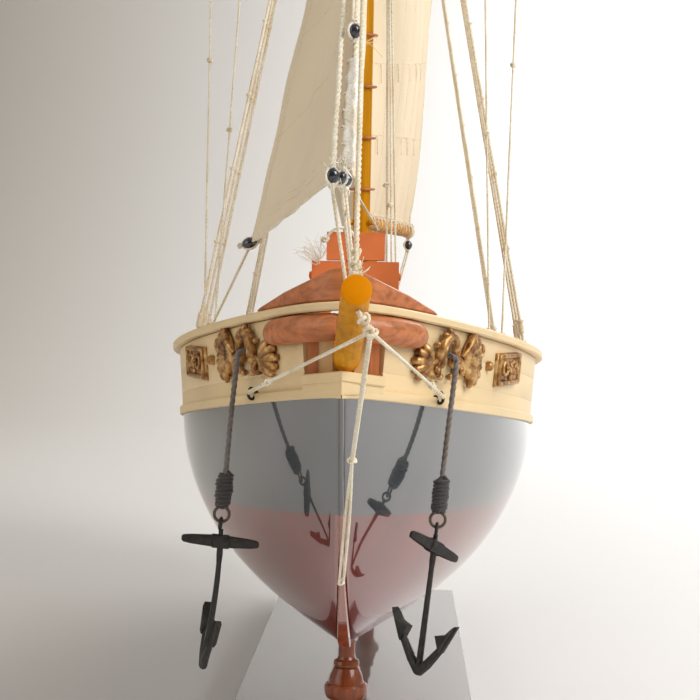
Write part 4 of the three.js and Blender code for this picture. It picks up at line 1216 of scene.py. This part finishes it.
def shroud_set(prefix, dims, side, sign, z, width):
    bore = dims.radius * 0.86 + 0.3
    stays, knots = Shape(), Shape()
    tops = [at(sign * (bore + width - 0.5), dims.s + k - 1, z) for k in range(3)]
    feet = [rail_spot(dims.s + aft, sign, -3.5, 3.6) for aft in SHROUD_FEET]
    chance = random.Random(len(prefix) * 7 + sign)
    lines = []
    for k, (foot, top) in enumerate(zip(feet, tops)):
        low = foot + (top - foot).normalized() * 6
        lines.append((low, top))
        laid_rope(stays, [low, top], 1.55)
        for way in (-1, 1):
            laid_rope(stays, [foot + vec(0, way * 0.9, -2.6), low + vec(0, way * 0.7, 0)], 0.9)
        knots.lathe([(0.4, -3.2), (1.7, -3.0), (1.7, -2.2), (0.4, -2.0)], foot, (0, 0, 1), 12)
        knot(knots, low, 1.35, 0.45, 20 + k)
        seizing(knots, low + (top - low) * 0.012, low + (top - low) * 0.03, 1.0, 0.28, 40 + k)
    rise = feet[0].z + 16
    while rise < z - 34:
        row = []
        for low, top in lines:
            t = (rise - low.z) / (top.z - low.z)
            row.append(low.lerp(top, t) + vec(sign * 0.3, 0, 0))
        ends = [row[0] + vec(0, -2.0, -0.4), *row, row[-1] + vec(0, 2.0, -0.5)]
        knots.tube(smooth_path(ends, 3), 0.32, 6)
        for spot in row:
            knot(knots, spot, 0.95, 0.3, chance.randrange(99), 2)
        for spot, way in ((row[0], -1), (row[-1], 1)):
            frayed(knots, spot, (sign * 0.4, way, chance.uniform(-0.5, 0.5)), 2, 3.4, 0.1,
                   chance.randrange(99))
        rise += RATLINE_GAP[prefix]
    knots.collar(at(0, dims.s, z), bore, bore + 1.1, 1)
    obj = stays.piece(f"{prefix}_shroud_ropes_{side}", "rope")
    knots.piece(f"{prefix}_ratlines_{side}", "thin_rope")
    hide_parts(f"{prefix}_shrouds_{side}")


def headstays():
    bore = FORE.radius * 0.82 + 0.3
    z = FORE.head - 6
    front = at(0, FORE.s - bore - 0.8, z)
    s = SPRIT_TIP[1] + 12
    seat = sprit_point(s) + vec(0, 0, SPRIT_R[1] + 1.3)
    truck = at(0, FORE.s - FORE.radius * 0.62 - 1.4, FORE.truck - 8)
    shape = Shape()
    laid_rope(shape, [seat, front], 1.8)
    laid_rope(shape, [seat, truck], 1.4)
    knot(shape, seat + vec(0, 0, 0.6), 1.8, 0.65, 3)
    for k, wire in enumerate((0.6, 0.5)):
        spot = seat.lerp(front, 0.012 + 0.011 * k)
        knot(shape, spot, 1.5 - 0.25 * k, wire, 50 + k)
    frayed(shape, seat + vec(0, 0, 1), (0.3, 0.3, 1), 6, 6, 0.13, 77)
    shape.collar(at(0, FORE.s, z), bore - 0.2, bore + 1.0, 1.4)
    obj = shape.piece("forestays", "rope")
    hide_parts("headstays")

    shape = Shape()
    bore = MAIN.radius * 0.82 + 0.3
    z = MAIN.head - 6
    back = at(0, FORE.s + FORE.radius * 0.82 + 1.2, FORE.head - 2)
    laid_rope(shape, [at(0, MAIN.s - bore - 0.8, z), back], 1.8)
    knot(shape, back, 1.8, 0.6, 14)
    shape.collar(at(0, MAIN.s, z), bore - 0.2, bore + 1.0, 1.4)
    obj = shape.piece("main_stay_rope", "rope")
    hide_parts("main_stay")


def halyard_falls():
    """The falls of the jib and gaff halyards, made fast to the deck on the foremast's port side."""
    shape = Shape()
    eyes = Shape()
    for foot, s, size in ((13, 179, 1.15), (16, 177, 1.0), (18.5, 181, 1.0)):
        low = at(foot, s, deck_z(s) + 2.6)
        high = at(7.4, 179.5, 458 - foot * 0.6)
        laid_rope(shape, [at(2.6, 181.6, high.z + 3), high, high.lerp(low, 0.5) + vec(0.5, 0, 0), low], size)
        knot(shape, high.lerp(low, 0.52 + 0.01 * foot), 1.3, 0.4, int(foot))
        knot(shape, low, 1.4, 0.45, int(foot) + 3)
        eyes.lathe([(0.3, -2.6), (1.9, -2.4), (1.7, -1.6), (0.8, -1.2), (0.7, 0.6), (0.3, 0.9)], low,
                   sides=12)
    eyes.piece("halyard_eyes", "iron")
    shape.piece("halyard_falls", "rope")


for side_name, side_sign in SIDES:
    ground_tackle(side_name, side_sign)
shroud_hooks()
bow_lines()
for prefix, dims in (("fore", FORE), ("main", MAIN)):
    shroud_set(prefix, dims, "port", 1, dims.head - 14, 3.6)
    shroud_set(prefix, dims, "starboard", -1, dims.head - 18, 1.6)
headstays()
halyard_falls()


# ---- Masts and spars ----
def masts():
    for name, dims in (("foremast", FORE), ("mainmast", MAIN)):
        r, top = dims.radius, dims.radius * 0.62
        head, truck = dims.head, dims.truck
        shape = Shape()
        shape.lathe([(r * 0.9, KEELSON_Z + 0.5), (r, 180), (r, 260), (r * 0.86, head - 60), (r * 0.8, head)],
                    at(0, dims.s, 0), sides=32)
        button = [(0.6, 4), (0.6, 3.6), (1, 3.2), (1.05, 2), (0.9, 0.6), (0.4, 0)]
        topmast = [(top * 1.02, head - 42), (top, head + 20)]
        topmast += [(top * k, truck - drop) for k, drop in button]
        shape.lathe(topmast, at(0, dims.s, 0), sides=24)
        mast = shape.piece(f"{name}_spar", "amber_z")
        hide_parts(name)
        fittings = Shape()
        for z in (head - 30, head - 3.5):
            fittings.collar(at(0, dims.s, z), r * 0.8, r * 0.98, 1.2, 24)
        deck = deck_z(dims.s) + 1.6
        fittings.lathe([(r + 0.2, -0.2), (r + 2.4, 0), (r + 2.2, 1.6), (r + 0.9, 2.6), (r + 0.1, 2.8)],
                       at(0, dims.s, deck), sides=28)
        fittings.piece(f"{name}_bands", "amber_z")
        trees = Shape()
        y = dims.s + BOW_Y
        for x in (-r - 1.4, r * 0.55 + 0.9):
            trees.box((x, y - 12, head - 2.4), (x + 1.9 - 0.6, y + 12, head), 0.3)
        for shift in (-8, 7):
            trees.box((-19, y + shift, head), (19, y + shift + 2, head + 1.6), 0.35)
        trees.piece(f"{name}_crosstrees", "mahogany_x")


def yard():
    def point(x):
        return at(x, FORE.s - FORE.radius - YARD.radius - 1.2, YARD.z)

    shape = Shape()
    stops = [(-86, 1.2), (-85, 1.5), (-60, 2.0), (-30, 2.55), (0, 2.6), (30, 2.55), (60, 2.0), (85, 1.5),
             (86, 1.2)]
    shape.tube([point(x) for x, _ in stops], [r for _, r in stops], 24)
    spar = shape.piece("yard_spar", "amber_x", "yard")
    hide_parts("fore_yard")
    lines = Shape()
    for x in (-80, -60, 0, 60, 80):
        seizing(lines, point(x - 1.2), point(x + 1.2), 2.15 if x else 2.8, 0.36, 60 + x)
    for sign in (-1, 1):
        foot = [point(sign * 78) + vec(0, 0.6, -1.6)]
        foot += sagging(point(sign * 74) + vec(0, 1.0, -2), point(sign * 7) + vec(0, 1.0, -2), 9, 8)
        lines.tube(smooth_path(foot, 3), 0.36, 6)
        for x in (20, 38, 56):
            t = (74 - x) / 67
            drop = -2 - 36 * t * (1 - t)
            lines.tube([point(sign * x) + vec(0, 0.6, -1.8), point(sign * x) + vec(0, 1.0, drop)], 0.28, 6)
    lines.piece("yard_footropes", "thin_rope", "yard")
    for side, sign in SIDES:
        for name, end, s in (("clewline", 50, 80), ("brace", 70, 95)):
            low = rail_spot(s, sign, -3.0, 3.4)
            high = point(sign * end) + vec(0, 0.8, -1.6)
            shape = Shape()
            laid_rope(shape, [low, low.lerp(high, 0.5) + vec(0, 0, -0.6), high], 0.95, lay=1.6)
            knot(shape, low + vec(0, 0, 0.6), 1.4, 0.42, 6 + s)
            knot(shape, low.lerp(high, 0.3 if name == "clewline" else 0.42), 1.2, 0.4, s)
            running_line(shape, f"{name}_{side}", high)


def running_line(shape, name, moving):
    """A line that stretches between a point fixed to the ship and one on a body that swings; the moving
    argument is not used.

    The piece is taken off its body, so it has no parent, and its transform is baked.
    """
    line = shape.piece(name, "thin_rope")
    place = line.matrix_world.copy()
    line.parent = None
    line.matrix_world = place
    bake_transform(line)


def on_rig(dims, v):
    turn = Matrix.Rotation(radians(dims.swing), 3, "Z")
    return turn @ Vector(v) + vec(0, dims.s + BOW_Y, 0)


def spar_ends(dims):
    """Both ends of the boom, then both ends of the gaff, before the rig swings."""
    start, slope = dims.radius + 1, radians(GAFF_RISE)
    peak = vec(0, start + dims.gaff * cos(slope), dims.gaff_z + dims.gaff * sin(slope))
    return vec(0, start, dims.boom_z), vec(0, dims.boom, dims.boom_z + 4), vec(0, start, dims.gaff_z), peak


def sail_corners(dims):
    clear, slope = 3.6, radians(GAFF_RISE)
    boom_start, boom_end, gaff_start, peak = spar_ends(dims)
    return (boom_start + vec(0, 2, clear), boom_end + vec(0, -8, clear),
            peak + vec(0, -4 * cos(slope), -clear - 3), gaff_start + vec(0, 2, -clear))


def cloth_area(grid):
    total = 0.0
    for a, b in zip(grid, grid[1:]):
        for i in range(len(a) - 1):
            total += (a[i + 1] - a[i]).cross(b[i] - a[i]).length / 2
            total += (b[i + 1] - b[i]).cross(a[i + 1] - b[i + 1]).length / 2
    return total


def cloth_plate(grid, thick):
    """A thin sheet with both faces, from the grid of its middle surface."""
    outer, inner = [], []
    rows, cols = len(grid), len(grid[0])
    for i in range(rows):
        top, low = [], []
        for j in range(cols):
            du = grid[min(rows - 1, i + 1)][j] - grid[max(0, i - 1)][j]
            dv = grid[i][min(cols - 1, j + 1)] - grid[i][max(0, j - 1)]
            normal = du.cross(dv).normalized()
            top.append(grid[i][j] + normal * thick / 2)
            low.append(grid[i][j] - normal * thick / 2)
        outer.append(top)
        inner.append(low)
    return Shape().plate(outer, inner)


def edge_rope(shape, points, diameter):
    laid_rope(shape, points[::3] + ([points[-1]] if (len(points) - 1) % 3 else []), diameter, lay=1.5,
              steps=3)


def gaff_sail(prefix, dims):
    body = f"{prefix}_rig"
    tack, clew, peak, throat = sail_corners(dims)
    side = -1 if dims.swing > 0 else 1
    belly = dims.boom * 0.07

    def surface(u, v):
        p = tack.lerp(clew, u).lerp(throat.lerp(peak, u), v)
        bulge = belly * sin(pi * min(1, u ** 0.8)) * sin(pi * v) ** 0.8
        flutter = 3.4 * max(0.0, (u - 0.62) / 0.38) ** 2 * sin(9.0 * v + 2 * u) * sin(pi * v)
        wrinkle = noise.noise(vec(u * 9, v * 5 + u * 3, dims.s)) * 1.5 * sin(pi * v)
        gather = 0.9 * sin(u * 70) * (exp(-v * 16) + exp(-(1 - v) * 16)) * min(1, 8 * u * (1 - u))
        slack = dims.boom * 0.1 * u ** 3 * sin(pi * v)
        p.x += side * (bulge + slack) + flutter + wrinkle + gather * 0.6
        p.y -= 5.0 * sin(pi * v) * max(0.0, u - 0.5) * 2 * 0.9
        return on_rig(dims, p)

    nu, nv = 72, 96
    grid = [[surface(i / nu, j / nv) for j in range(nv + 1)] for i in range(nu + 1)]
    sail = cloth_plate(grid, 0.7).piece(f"{prefix}sail_cloth", "canvas", body)
    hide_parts(f"{prefix}sail")

    edges = Shape()
    for line in (grid[0], grid[-1], [row[0] for row in grid], [row[-1] for row in grid]):
        edge_rope(edges, line, 1.5)
    bolt = edges.piece(f"{prefix}sail_boltrope", "rope", body)

    seams = Shape()
    panel_width = 26
    panels = round(dims.boom / panel_width)
    for k in range(1, panels):
        u = k / panels
        line = [surface(u, v) for v in span(40, 0.005, 0.995)]
        seams.tube(line, 0.5, 6)
    for v in REEFS:
        seams.tube([surface(u, v) for u in span(40, 0.01, 0.99)], 0.52, 6)
    for corner in ((0, 0), (1, 0), (1, 1), (0, 1)):
        pull = [(0.5 + (corner[0] - 0.5) * t, 0.5 + (corner[1] - 0.5) * t) for t in (0.93, 0.965, 0.995)]
        seams.tube([surface(*q) for q in pull], [0.5, 0.9, 1.3], 8)
    stitch = seams.piece(f"{prefix}sail_seams", "canvas_seam", body)

    reefs = Shape()
    across = vec(cos(radians(dims.swing)), sin(radians(dims.swing)), 0)
    for v in REEFS:
        for k in range(1, panels):
            p = surface((k - 0.5) / panels, v)
            for way in (-1, 1):
                reefs.tube([p + across * way * 0.2, p + across * way * 1.1 + vec(0, 0, -1),
                            p + across * way * 1.3 + vec(0, 0.5 * way, -9)], 0.28, 6)
    reef = reefs.piece(f"{prefix}sail_reef_points", "thin_rope", body)
    area = cloth_area(grid) * 1e-6


def gaff_spars(prefix, dims):
    body = f"{prefix}_rig"
    r = dims.radius
    boom_start, boom_end, gaff_start, peak = spar_ends(dims)

    def spar(name, a, b, radii, node):
        shape = Shape()
        stops = [(0, radii[0]), (0.5, radii[1]), (0.94, radii[2]), (0.985, radii[2]), (1.0, radii[2] * 0.62)]
        path = [on_rig(dims, a.lerp(b, t)) for t, _ in stops]
        shape.tube(path, [q for _, q in stops], 24)
        level = a.z
        for way in (-1, 1):
            arc = span(12, 0.85, pi * 0.93)
            jaw = [on_rig(dims, vec(way * (r + 1.5) * sin(t), -(r + 1.5) * cos(t), level)) for t in arc]
            shape.tube(jaw, [0.7] + [1.15] * 11 + [1.5], 10)
        obj = shape.piece(name, "amber_y", body)
        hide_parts(node)

    spar(f"{prefix}_boom_spar", boom_start, boom_end, (2.6, 3.1, 2.5), f"{prefix}_boom")
    spar(f"{prefix}_gaff_spar", gaff_start, peak, (2.4, 2.3, 1.9), f"{prefix}_gaff")

    hoops = Shape()
    tack, _, _, throat = sail_corners(dims)
    for t in span(9, 0.05, 0.95):
        z = tack.z + (throat.z - tack.z) * t
        centre = vec(0, 0.4, z)
        ring = [on_rig(dims, centre + vec((r + 1.5) * cos(a), (r + 1.5) * sin(a), 0.5 * sin(a)))
                for a in circle(26)]
        hoops.tube(ring, 0.62, 8, loop=True)
    hoops.piece(f"{prefix}_mast_hoops", "mahogany_z", body, sharp=80)

    lacing = Shape()
    for a, b, radius in ((boom_start, boom_end, 4.0), (gaff_start, peak, 3.7)):
        turns = round((b - a).length / 11)
        axis = (b - a).normalized()
        up = vec(1, 0, 0).cross(axis) * -1
        line = []
        lift = 1.1 if a is boom_start else -1.6
        for k in range(turns * 12 + 1):
            t = 0.03 + 0.9 * k / (turns * 12)
            angle = 2 * pi * turns * t
            p = a.lerp(b, t) + vec(0, 0, lift)
            line.append(on_rig(dims, p + vec(cos(angle) * radius, 0, 0) + up * sin(angle) * radius))
        lacing.tube(line, 0.34, 6)
    lacing.piece(f"{prefix}_sail_lacing", "thin_rope", body)

    gear, blacks = Shape(), Shape()
    end = on_rig(dims, boom_end.lerp(boom_start, 0.05))
    bound = [on_rig(dims, boom_end.lerp(boom_start, t)) for t in (0.065, 0.04)]
    seizing(gear, *bound, 2.9, 0.45, 70)
    block(blacks, gear, end + vec(0, 0, -7.5), 2.6, seed=71)
    gear.piece(f"{prefix}_boom_strop", "thin_rope", body)
    blacks.piece(f"{prefix}_boom_block", "black", body)

    masthead = at(0, dims.s + r * 0.9 + 0.6, dims.head - 6)
    aloft = on_rig(dims, gaff_start.lerp(peak, 0.82) + vec(0, 0, 2.4))
    throat = on_rig(dims, gaff_start + vec(0, 3, 2.8))
    lifted = end + vec(0, 0, 3)
    for name, low in (("topping_lift", lifted), ("peak_halyard", aloft), ("throat_halyard", throat)):
        shape = Shape()
        laid_rope(shape, [masthead, masthead.lerp(low, 0.5) + vec(0, 0, -1.5), low], 1.05, lay=1.6)
        knot(shape, low, 1.4, 0.45, 7)
        running_line(shape, f"{prefix}_{name}", low)
    sheet_foot = at(0, dims.s + dims.boom * 0.9, deck_z(min(628, dims.s + dims.boom * 0.9)) + 3)
    if prefix == "main":
        sheet_foot = vec(0, 640 + BOW_Y + 1.5, sheer_z(638) + 3.6) + vec(0, -10, 0)
    top = end + vec(0, 0, -10.5)
    shape = Shape()
    for shift in (-0.9, 0.9):
        laid_rope(shape, [sheet_foot + vec(shift, 0, 0), top + vec(shift * 0.6, 0, 0)], 0.95, lay=1.6)
    knot(shape, sheet_foot, 1.5, 0.5, 5)
    running_line(shape, f"{prefix}_sheet_tackle", top)


# ---- Head sails ----
def jib(name, tack, clew, head, belly, folds=0.7):
    """A head sail set on the forestays. Returns the line of its luff."""
    side = (clew - tack).cross(head - tack).normalized()

    def surface(u, v):
        q = v * 0.965
        p = tack.lerp(clew, u).lerp(head, q)
        bulge = belly * sin(pi * u) * sin(pi * min(1, q * 1.02))
        ripple = folds * sin(u * 17 + v * 5 + 1) * sin(pi * min(1, u * 1.0)) * (1 - v) * 0.45
        wrinkle = noise.noise(vec(u * 7, v * 7, belly)) * folds * 1.2 * (1 - v * 0.7)
        hollow = (head - tack).normalized() * 1.2 * sin(pi * u) * (1 - v)
        return p + side * (bulge + ripple + wrinkle) - hollow

    nu, nv = 44, 90
    grid = [[surface(i / nu, j / nv) for j in range(nv + 1)] for i in range(nu + 1)]
    sail = cloth_plate(grid, 0.6).piece(f"{name}_cloth", "canvas")
    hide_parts(name)
    edges = Shape()
    luff, leech, foot = grid[0], grid[-1], [row[0] for row in grid]
    for line, width in ((luff, 2.0), (leech, 1.0), (foot, 1.0)):
        edge_rope(edges, line, width)
    bolt = edges.piece(f"{name}_boltrope", "rope")
    hems = Shape()
    for inset in (0.05, 0.075):
        hems.tube([surface(1 - inset, v) for v in span(60, 0.02, 0.97)], 0.42, 6)
        hems.tube([surface(u, inset * 0.7) for u in span(30, 0.03, 1 - inset)], 0.42, 6)
    for v in (0.22, 0.44, 0.66):
        hems.tube([surface(u, v + 0.10 * (1 - u)) for u in span(30, 0.02, 0.99)], 0.4, 6)
    frayed(hems, surface(0.6, 0.3), side, 3, 9, 0.13, 5)
    frayed(hems, surface(0.9, 0.55), side, 3, 7, 0.13, 9)
    hem = hems.piece(f"{name}_hems", "canvas_seam")
    area = cloth_area(grid) * 1e-6
    return luff


def head_gear():
    s_tack, s_clew, s_head = at(-1.5, -66, 246), at(-36, 45, 231.5), at(-1.5, 69, 408)
    c_tack, c_clew, c_head = at(2.9, -58, 253), at(2.6, 52, 250), at(2.2, 92, 430)
    jib("starboard_jib", s_tack, s_clew, s_head, 5)
    luff = jib("centre_jib", c_tack, c_clew, c_head, 2)

    tape = Shape()
    band = [p for p in luff if p.z < 290]
    line = smooth_path([band[0] + vec(-0.4, -1.2, -2), *band[1::4]], 1.2)
    tape.tube(line, [1.95 + 0.3 * sin(0.9 * k) for k in range(len(line))], 10)
    for k, p in enumerate(band[2::3]):
        knot(tape, p + vec(-1.6, -0.9, 0), 0.8, 0.22, k, 2)
    tape.piece("jib_luff_tape", "white_cord")

    blacks, strops = Shape(), Shape()
    upper = at(2.6, -23, 296)
    places = [(s_clew + vec(-0.8, 1, -0.6), 2.8, (1, 0, 0.3)), (s_tack + vec(0, -1.5, 0.5), 2.3, (0, 0, 1)),
              (s_tack + vec(2.7, 1.5, 0.2), 2.0, (0.2, 0, 1)), (at(2.2, -60, 246), 2.0, (0, 0, 1)),
              (upper + vec(0, -3.0, 0), 2.4, (0, 0, 1))]
    for k, (spot, size, hang) in enumerate(places):
        block(blacks, strops, spot, size, hang, seed=80 + 4 * k)
    blacks.piece("jib_blocks", "black")
    for k, (spot, size, _) in enumerate(places[1:4]):
        frayed(strops, spot + vec(0, -1, size), (0.2, -0.3, 1), 5, 5, 0.13, 90 + k)
        frayed(strops, spot + vec(0, -1, -size), (0.5, -0.4, -0.3), 4, 4, 0.13, 95 + k)
    strops.piece("jib_block_strops", "white_cord")

    lines = Shape()
    front = at(0, FORE.s - FORE.radius - 1.2, 0).y
    seats = [sprit_point(s) + vec(x, 0, SPRIT_R[1] + 0.4) for s, x in ((-66, -1.2), (-40, 1.6), (-62, 1.4))]
    rail = rail_spot(84, -1, -3.0, 4)
    for points, width in (
            ((s_tack + vec(0, -1.5, -2.6), seats[0]), 1.2),
            ((s_tack + vec(2.7, 1.5, -2.4), seats[1]), 1.2),
            ((at(2.2, -60, 243), seats[2]), 1.1),
            ((s_head + vec(0, 0, -4), vec(-1.6, front, 500)), 1.2),
            ((c_head + vec(0, 0, -4), vec(1.8, front, 520)), 1.2),
            ((upper + vec(-0.6, -3, 3), luff[60] + vec(-0.8, -2, 0), c_head + vec(-0.6, -2, 2)), 1.1),
            ((s_clew + vec(-1.5, 1, -3.2), rail), 1.1)):
        laid_rope(lines, points, width)
    knot(lines, rail + vec(0, 0, 0.4), 1.5, 0.5, 44)
    laid_rope(lines, [c_clew + vec(0, 0, -1), at(9, 112, 240)], 1.0)
    for seat in seats:
        knot(lines, seat, 1.5, 0.5, 45)
    lines.piece("jib_lines", "rope")


# ---- Deck ----
def bevelled(node, material, width):
    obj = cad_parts[node]
    for slot in obj.material_slots:
        slot.material = M[material]
    if width:
        bevel = obj.modifiers.new("edges", "BEVEL")
        bevel.width, bevel.segments, bevel.limit_method = width * MM, 3, "ANGLE"


def frame_looks():
    """Finishes for the frame's own meshes, each with the width of its rounded edges."""
    for material, width, nodes in (("deck", 0, ("main_deck",)), ("board", 1.6, ("base_board",)),
                                   ("cream", 0.6, ("transom", "deckhouse")),
                                   ("ply", 0.3, ("bulkhead_forward", "bulkhead_midship", "bulkhead_aft")),
                                   ("red", 0.7, ("windlass_frame",)), ("red", 0.4, ("windlass_barrel",)),
                                   ("mahogany_z", 0.4, ("knighthead_port", "knighthead_starboard")),
                                   ("mahogany_y", 0.8, ("deckhouse_roof",)),
                                   ("mahogany_y", 0.6, ("fore_hatch",)),
                                   ("mahogany_z", 0.5, ("steering_stand",)),
                                   ("mahogany_z", 0.25, ("steering_wheel",)), ("maroon", 0.7, ("rudder",)),
                                   ("amber_y", 0.6, ("bowsprit",))):
        for node in nodes:
            bevelled(node, material, width)


def windlass_gear():
    y0 = 118 + BOW_Y
    bosses = Shape()
    for x in (-17.4, 17.4):
        bosses.lathe([(0.8, -2.0), (1.6, -1.6), (1.6, 1.2), (0.8, 1.6)], (x, y0, 221), (1, 0, 0), 14)
    bosses.piece("windlass_bosses", "red")
    tuft = Shape()
    frayed(tuft, (-15, y0 - 4.2, 227.2), (-0.5, -0.2, 0.7), 44, 12, 0.09, 3)
    knot(tuft, (-12.6, y0 - 5.2, 235.8), 1.6, 0.55, 3)
    tie = [(-12.6, y0 - 5.2, 236), (-8, y0 - 6, 240.5), (-2.5, y0 - 5.6, 239.6), (0, y0 - 5.8, 236)]
    tuft.tube(smooth_path(tie, 1), 0.6, 8)
    tuft.piece("frayed_lashing", "white_cord")
    whelps = Shape()
    for x in (-6, 0, 6):
        whelps.collar((x, y0, 193), 6.0, 6.9, 0.8, 12, (1, 0, 0))
    whelps.piece("windlass_whelps", "mahogany_x", "windlass")


def deckhouse_gear():
    house, panes = Shape(), Shape()
    z0 = deck_z(290) + 2.1
    bars = ((-7, -5.4, 6, 18), (5.4, 7, 6, 18), (-7, 7, 6, 7.6), (-7, 7, 16.4, 18))
    for sign in (-1, 1):
        x0, x1 = sorted((sign * 28.8, sign * 29.9))
        pane0, pane1 = sorted((sign * 28.9, sign * 29.3))
        for y in (4, 25, 46):
            for fore, aft, low, high in bars:
                house.box((x0, y + fore, z0 + low), (x1, y + aft, z0 + high), 0.2)
            panes.box((pane0, y - 5.6, z0 + 7.4), (pane1, y + 5.6, z0 + 16.6), 0.1)
    for x0, x1, low in ((-8, -6.6, 1), (6.6, 8, 1), (-8, 8, 18.6)):
        house.box((x0, -7.3, z0 + low), (x1, -6.1, z0 + 20), 0.2)
    for x in (-16, 16):
        house.lathe([(3.2, 0), (4.4, 0.2), (4.4, 0.9), (3.2, 1.1)], (x, -6.1, z0 + 12), (0, -1, 0), 24)
        panes.lathe([(3.3, 0.1), (3.3, 0.5), (0.1, 0.6)], (x, -6.0, z0 + 12), (0, -1, 0), 24)
    house.piece("deckhouse_frames", "mahogany_z")
    panes.piece("deckhouse_glass", "black")
    doors = Shape()
    doors.box((-6.4, -6.9, z0 + 1), (6.4, -6.1, z0 + 18.4), 0.2)
    for x in (-5.4, 0.6):
        doors.box((x, -7.3, z0 + 2.4), (x + 4.8, -6.7, z0 + 16.8), 0.2)
    doors.piece("deckhouse_doors", "mahogany_z")
    roof = Shape()
    top = z0 + 22 + 0.3 + 3
    for k in range(10):
        x = -31.5 + 6.4 * k
        roof.box((x, -8.6, top - 0.1), (x + 6.0, 58.6, top + 0.6), 0.2)
    roof.box((-12, 12, top + 0.5), (12, 38, top + 5.5), 0.6)
    roof.box((-13, 11, top + 5.3), (13, 39, top + 6.6), 0.4)
    roof.piece("roof_boards", "mahogany_y")


def hatch_boards():
    hatch = Shape()
    hatch_top = deck_z(240) + 2.1 + 8
    for k in range(6):
        x = -19.2 + 6.5 * k
        hatch.box((x, -58.2, hatch_top - 0.1), (x + 6.0, -25.8, hatch_top + 1.1), 0.25)
    for y in (-53, -32):
        hatch.box((-19.6, y, hatch_top + 1.0), (19.6, y + 2.2, hatch_top + 1.9), 0.2)
    hatch.piece("hatch_boards", "mahogany_y")


def pin_rails():
    pins, tails = Shape(), Shape()
    for side, sign in SIDES:
        for base in (205, 245, 405, 445):
            for k in range(3):
                spot = rail_spot(base + 9 * k, sign, -6.6, -6)
                pins.lathe([(0.5, 0), (0.75, 0.4), (0.75, 5.4), (1.35, 6.6), (1.2, 8.6), (0.5, 9.6)], spot,
                           sides=12)
                knot(tails, spot + vec(0, 0, 4.2), 1.9, 0.5, base + k)
                coil = [spot + vec(-sign * x, y, z)
                        for x, y, z in ((1.2, 0, 4), (2.0, 1, -1), (2.2, -1, -5), (1.4, 0.6, 1))]
                tails.tube(smooth_path(coil, 1), 0.45, 6)
            pins.tube([rail_spot(s, sign, -6.6, -3) for s in (base - 5, base + 23)], 1.25, 6)
    pins.piece("belaying_pins", "mahogany_z")
    tails.piece("belayed_coils", "thin_rope")


def wheel_handles():
    wheel = Shape()
    centre = vec(0, 265.5, 188.67)
    for k in range(8):
        a = k * pi / 4
        way = vec(cos(a), 0, sin(a))
        wheel.tube([centre + way * reach for reach in (11, 12, 13.6, 14.8)], [0.6, 0.7, 0.95, 0.55], 10)
    wheel.lathe([(3.0, -1.8), (1.9, -1.2), (2.4, -0.4), (3.4, 0)], centre + vec(0, -1.1, 0), (0, -1, 0), 20)
    wheel.piece("wheel_handles", "mahogany_z", "wheel", sharp=80)


def stand():
    base = BOARD_TOP + 0.3
    height = KEEL_Z - 0.3 - base
    profile = [(13.2, 0), (14, 0.5), (14, 3.2), (13.2, 4.2), (10.6, 4.8), (9.6, 6.0), (9.0, 7.4), (7.4, 10.2),
               (6.5, 14), (5.8, 18.6), (5.2, 24), (5.1, 28), (5.3, 31), (6.4, 32.2), (7.9, 33.2), (8.6, 34.6),
               (8.9, 36.6), (8.75, 38.2), (8.0, 39.0), (7.35, 39.2), (7.3, 39.6), (6.8, 42.0), (5.2, 45.4),
               (4.7, 45.8), (5.2, 46.3), (5.4, 47.2), (5.1, 48.4), (3.9, 49.0), (3.4, 50.0), (3.5, height)]
    for name, s in (("pedestal_forward", 105), ("pedestal_aft", 500)):
        obj = Shape().lathe(profile, at(0, s, base), sides=48).piece(f"{name}_turning", "turned", sharp=25)
        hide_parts(name)
    bands = Shape()
    for z in (78, 92, 104):
        bands.collar((0, 266, z), 2.6, 2.9, 1.2, edge=0.4)
    bands.piece("rudder_bands", "brass", "rudder_blade")


masts()
yard()
for prefix, dims in (("fore", FORE), ("main", MAIN)):
    gaff_spars(prefix, dims)
    gaff_sail(prefix, dims)
head_gear()
frame_looks()
windlass_gear()
deckhouse_gear()
hatch_boards()
pin_rails()
wheel_handles()
stand()


def write_sizes():
    boxes = {"cad": CAD_BOX, "visual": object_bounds()}
    plain = {k: [[float(c) for c in corner] for corner in v] for k, v in boxes.items()}


write_sizes()
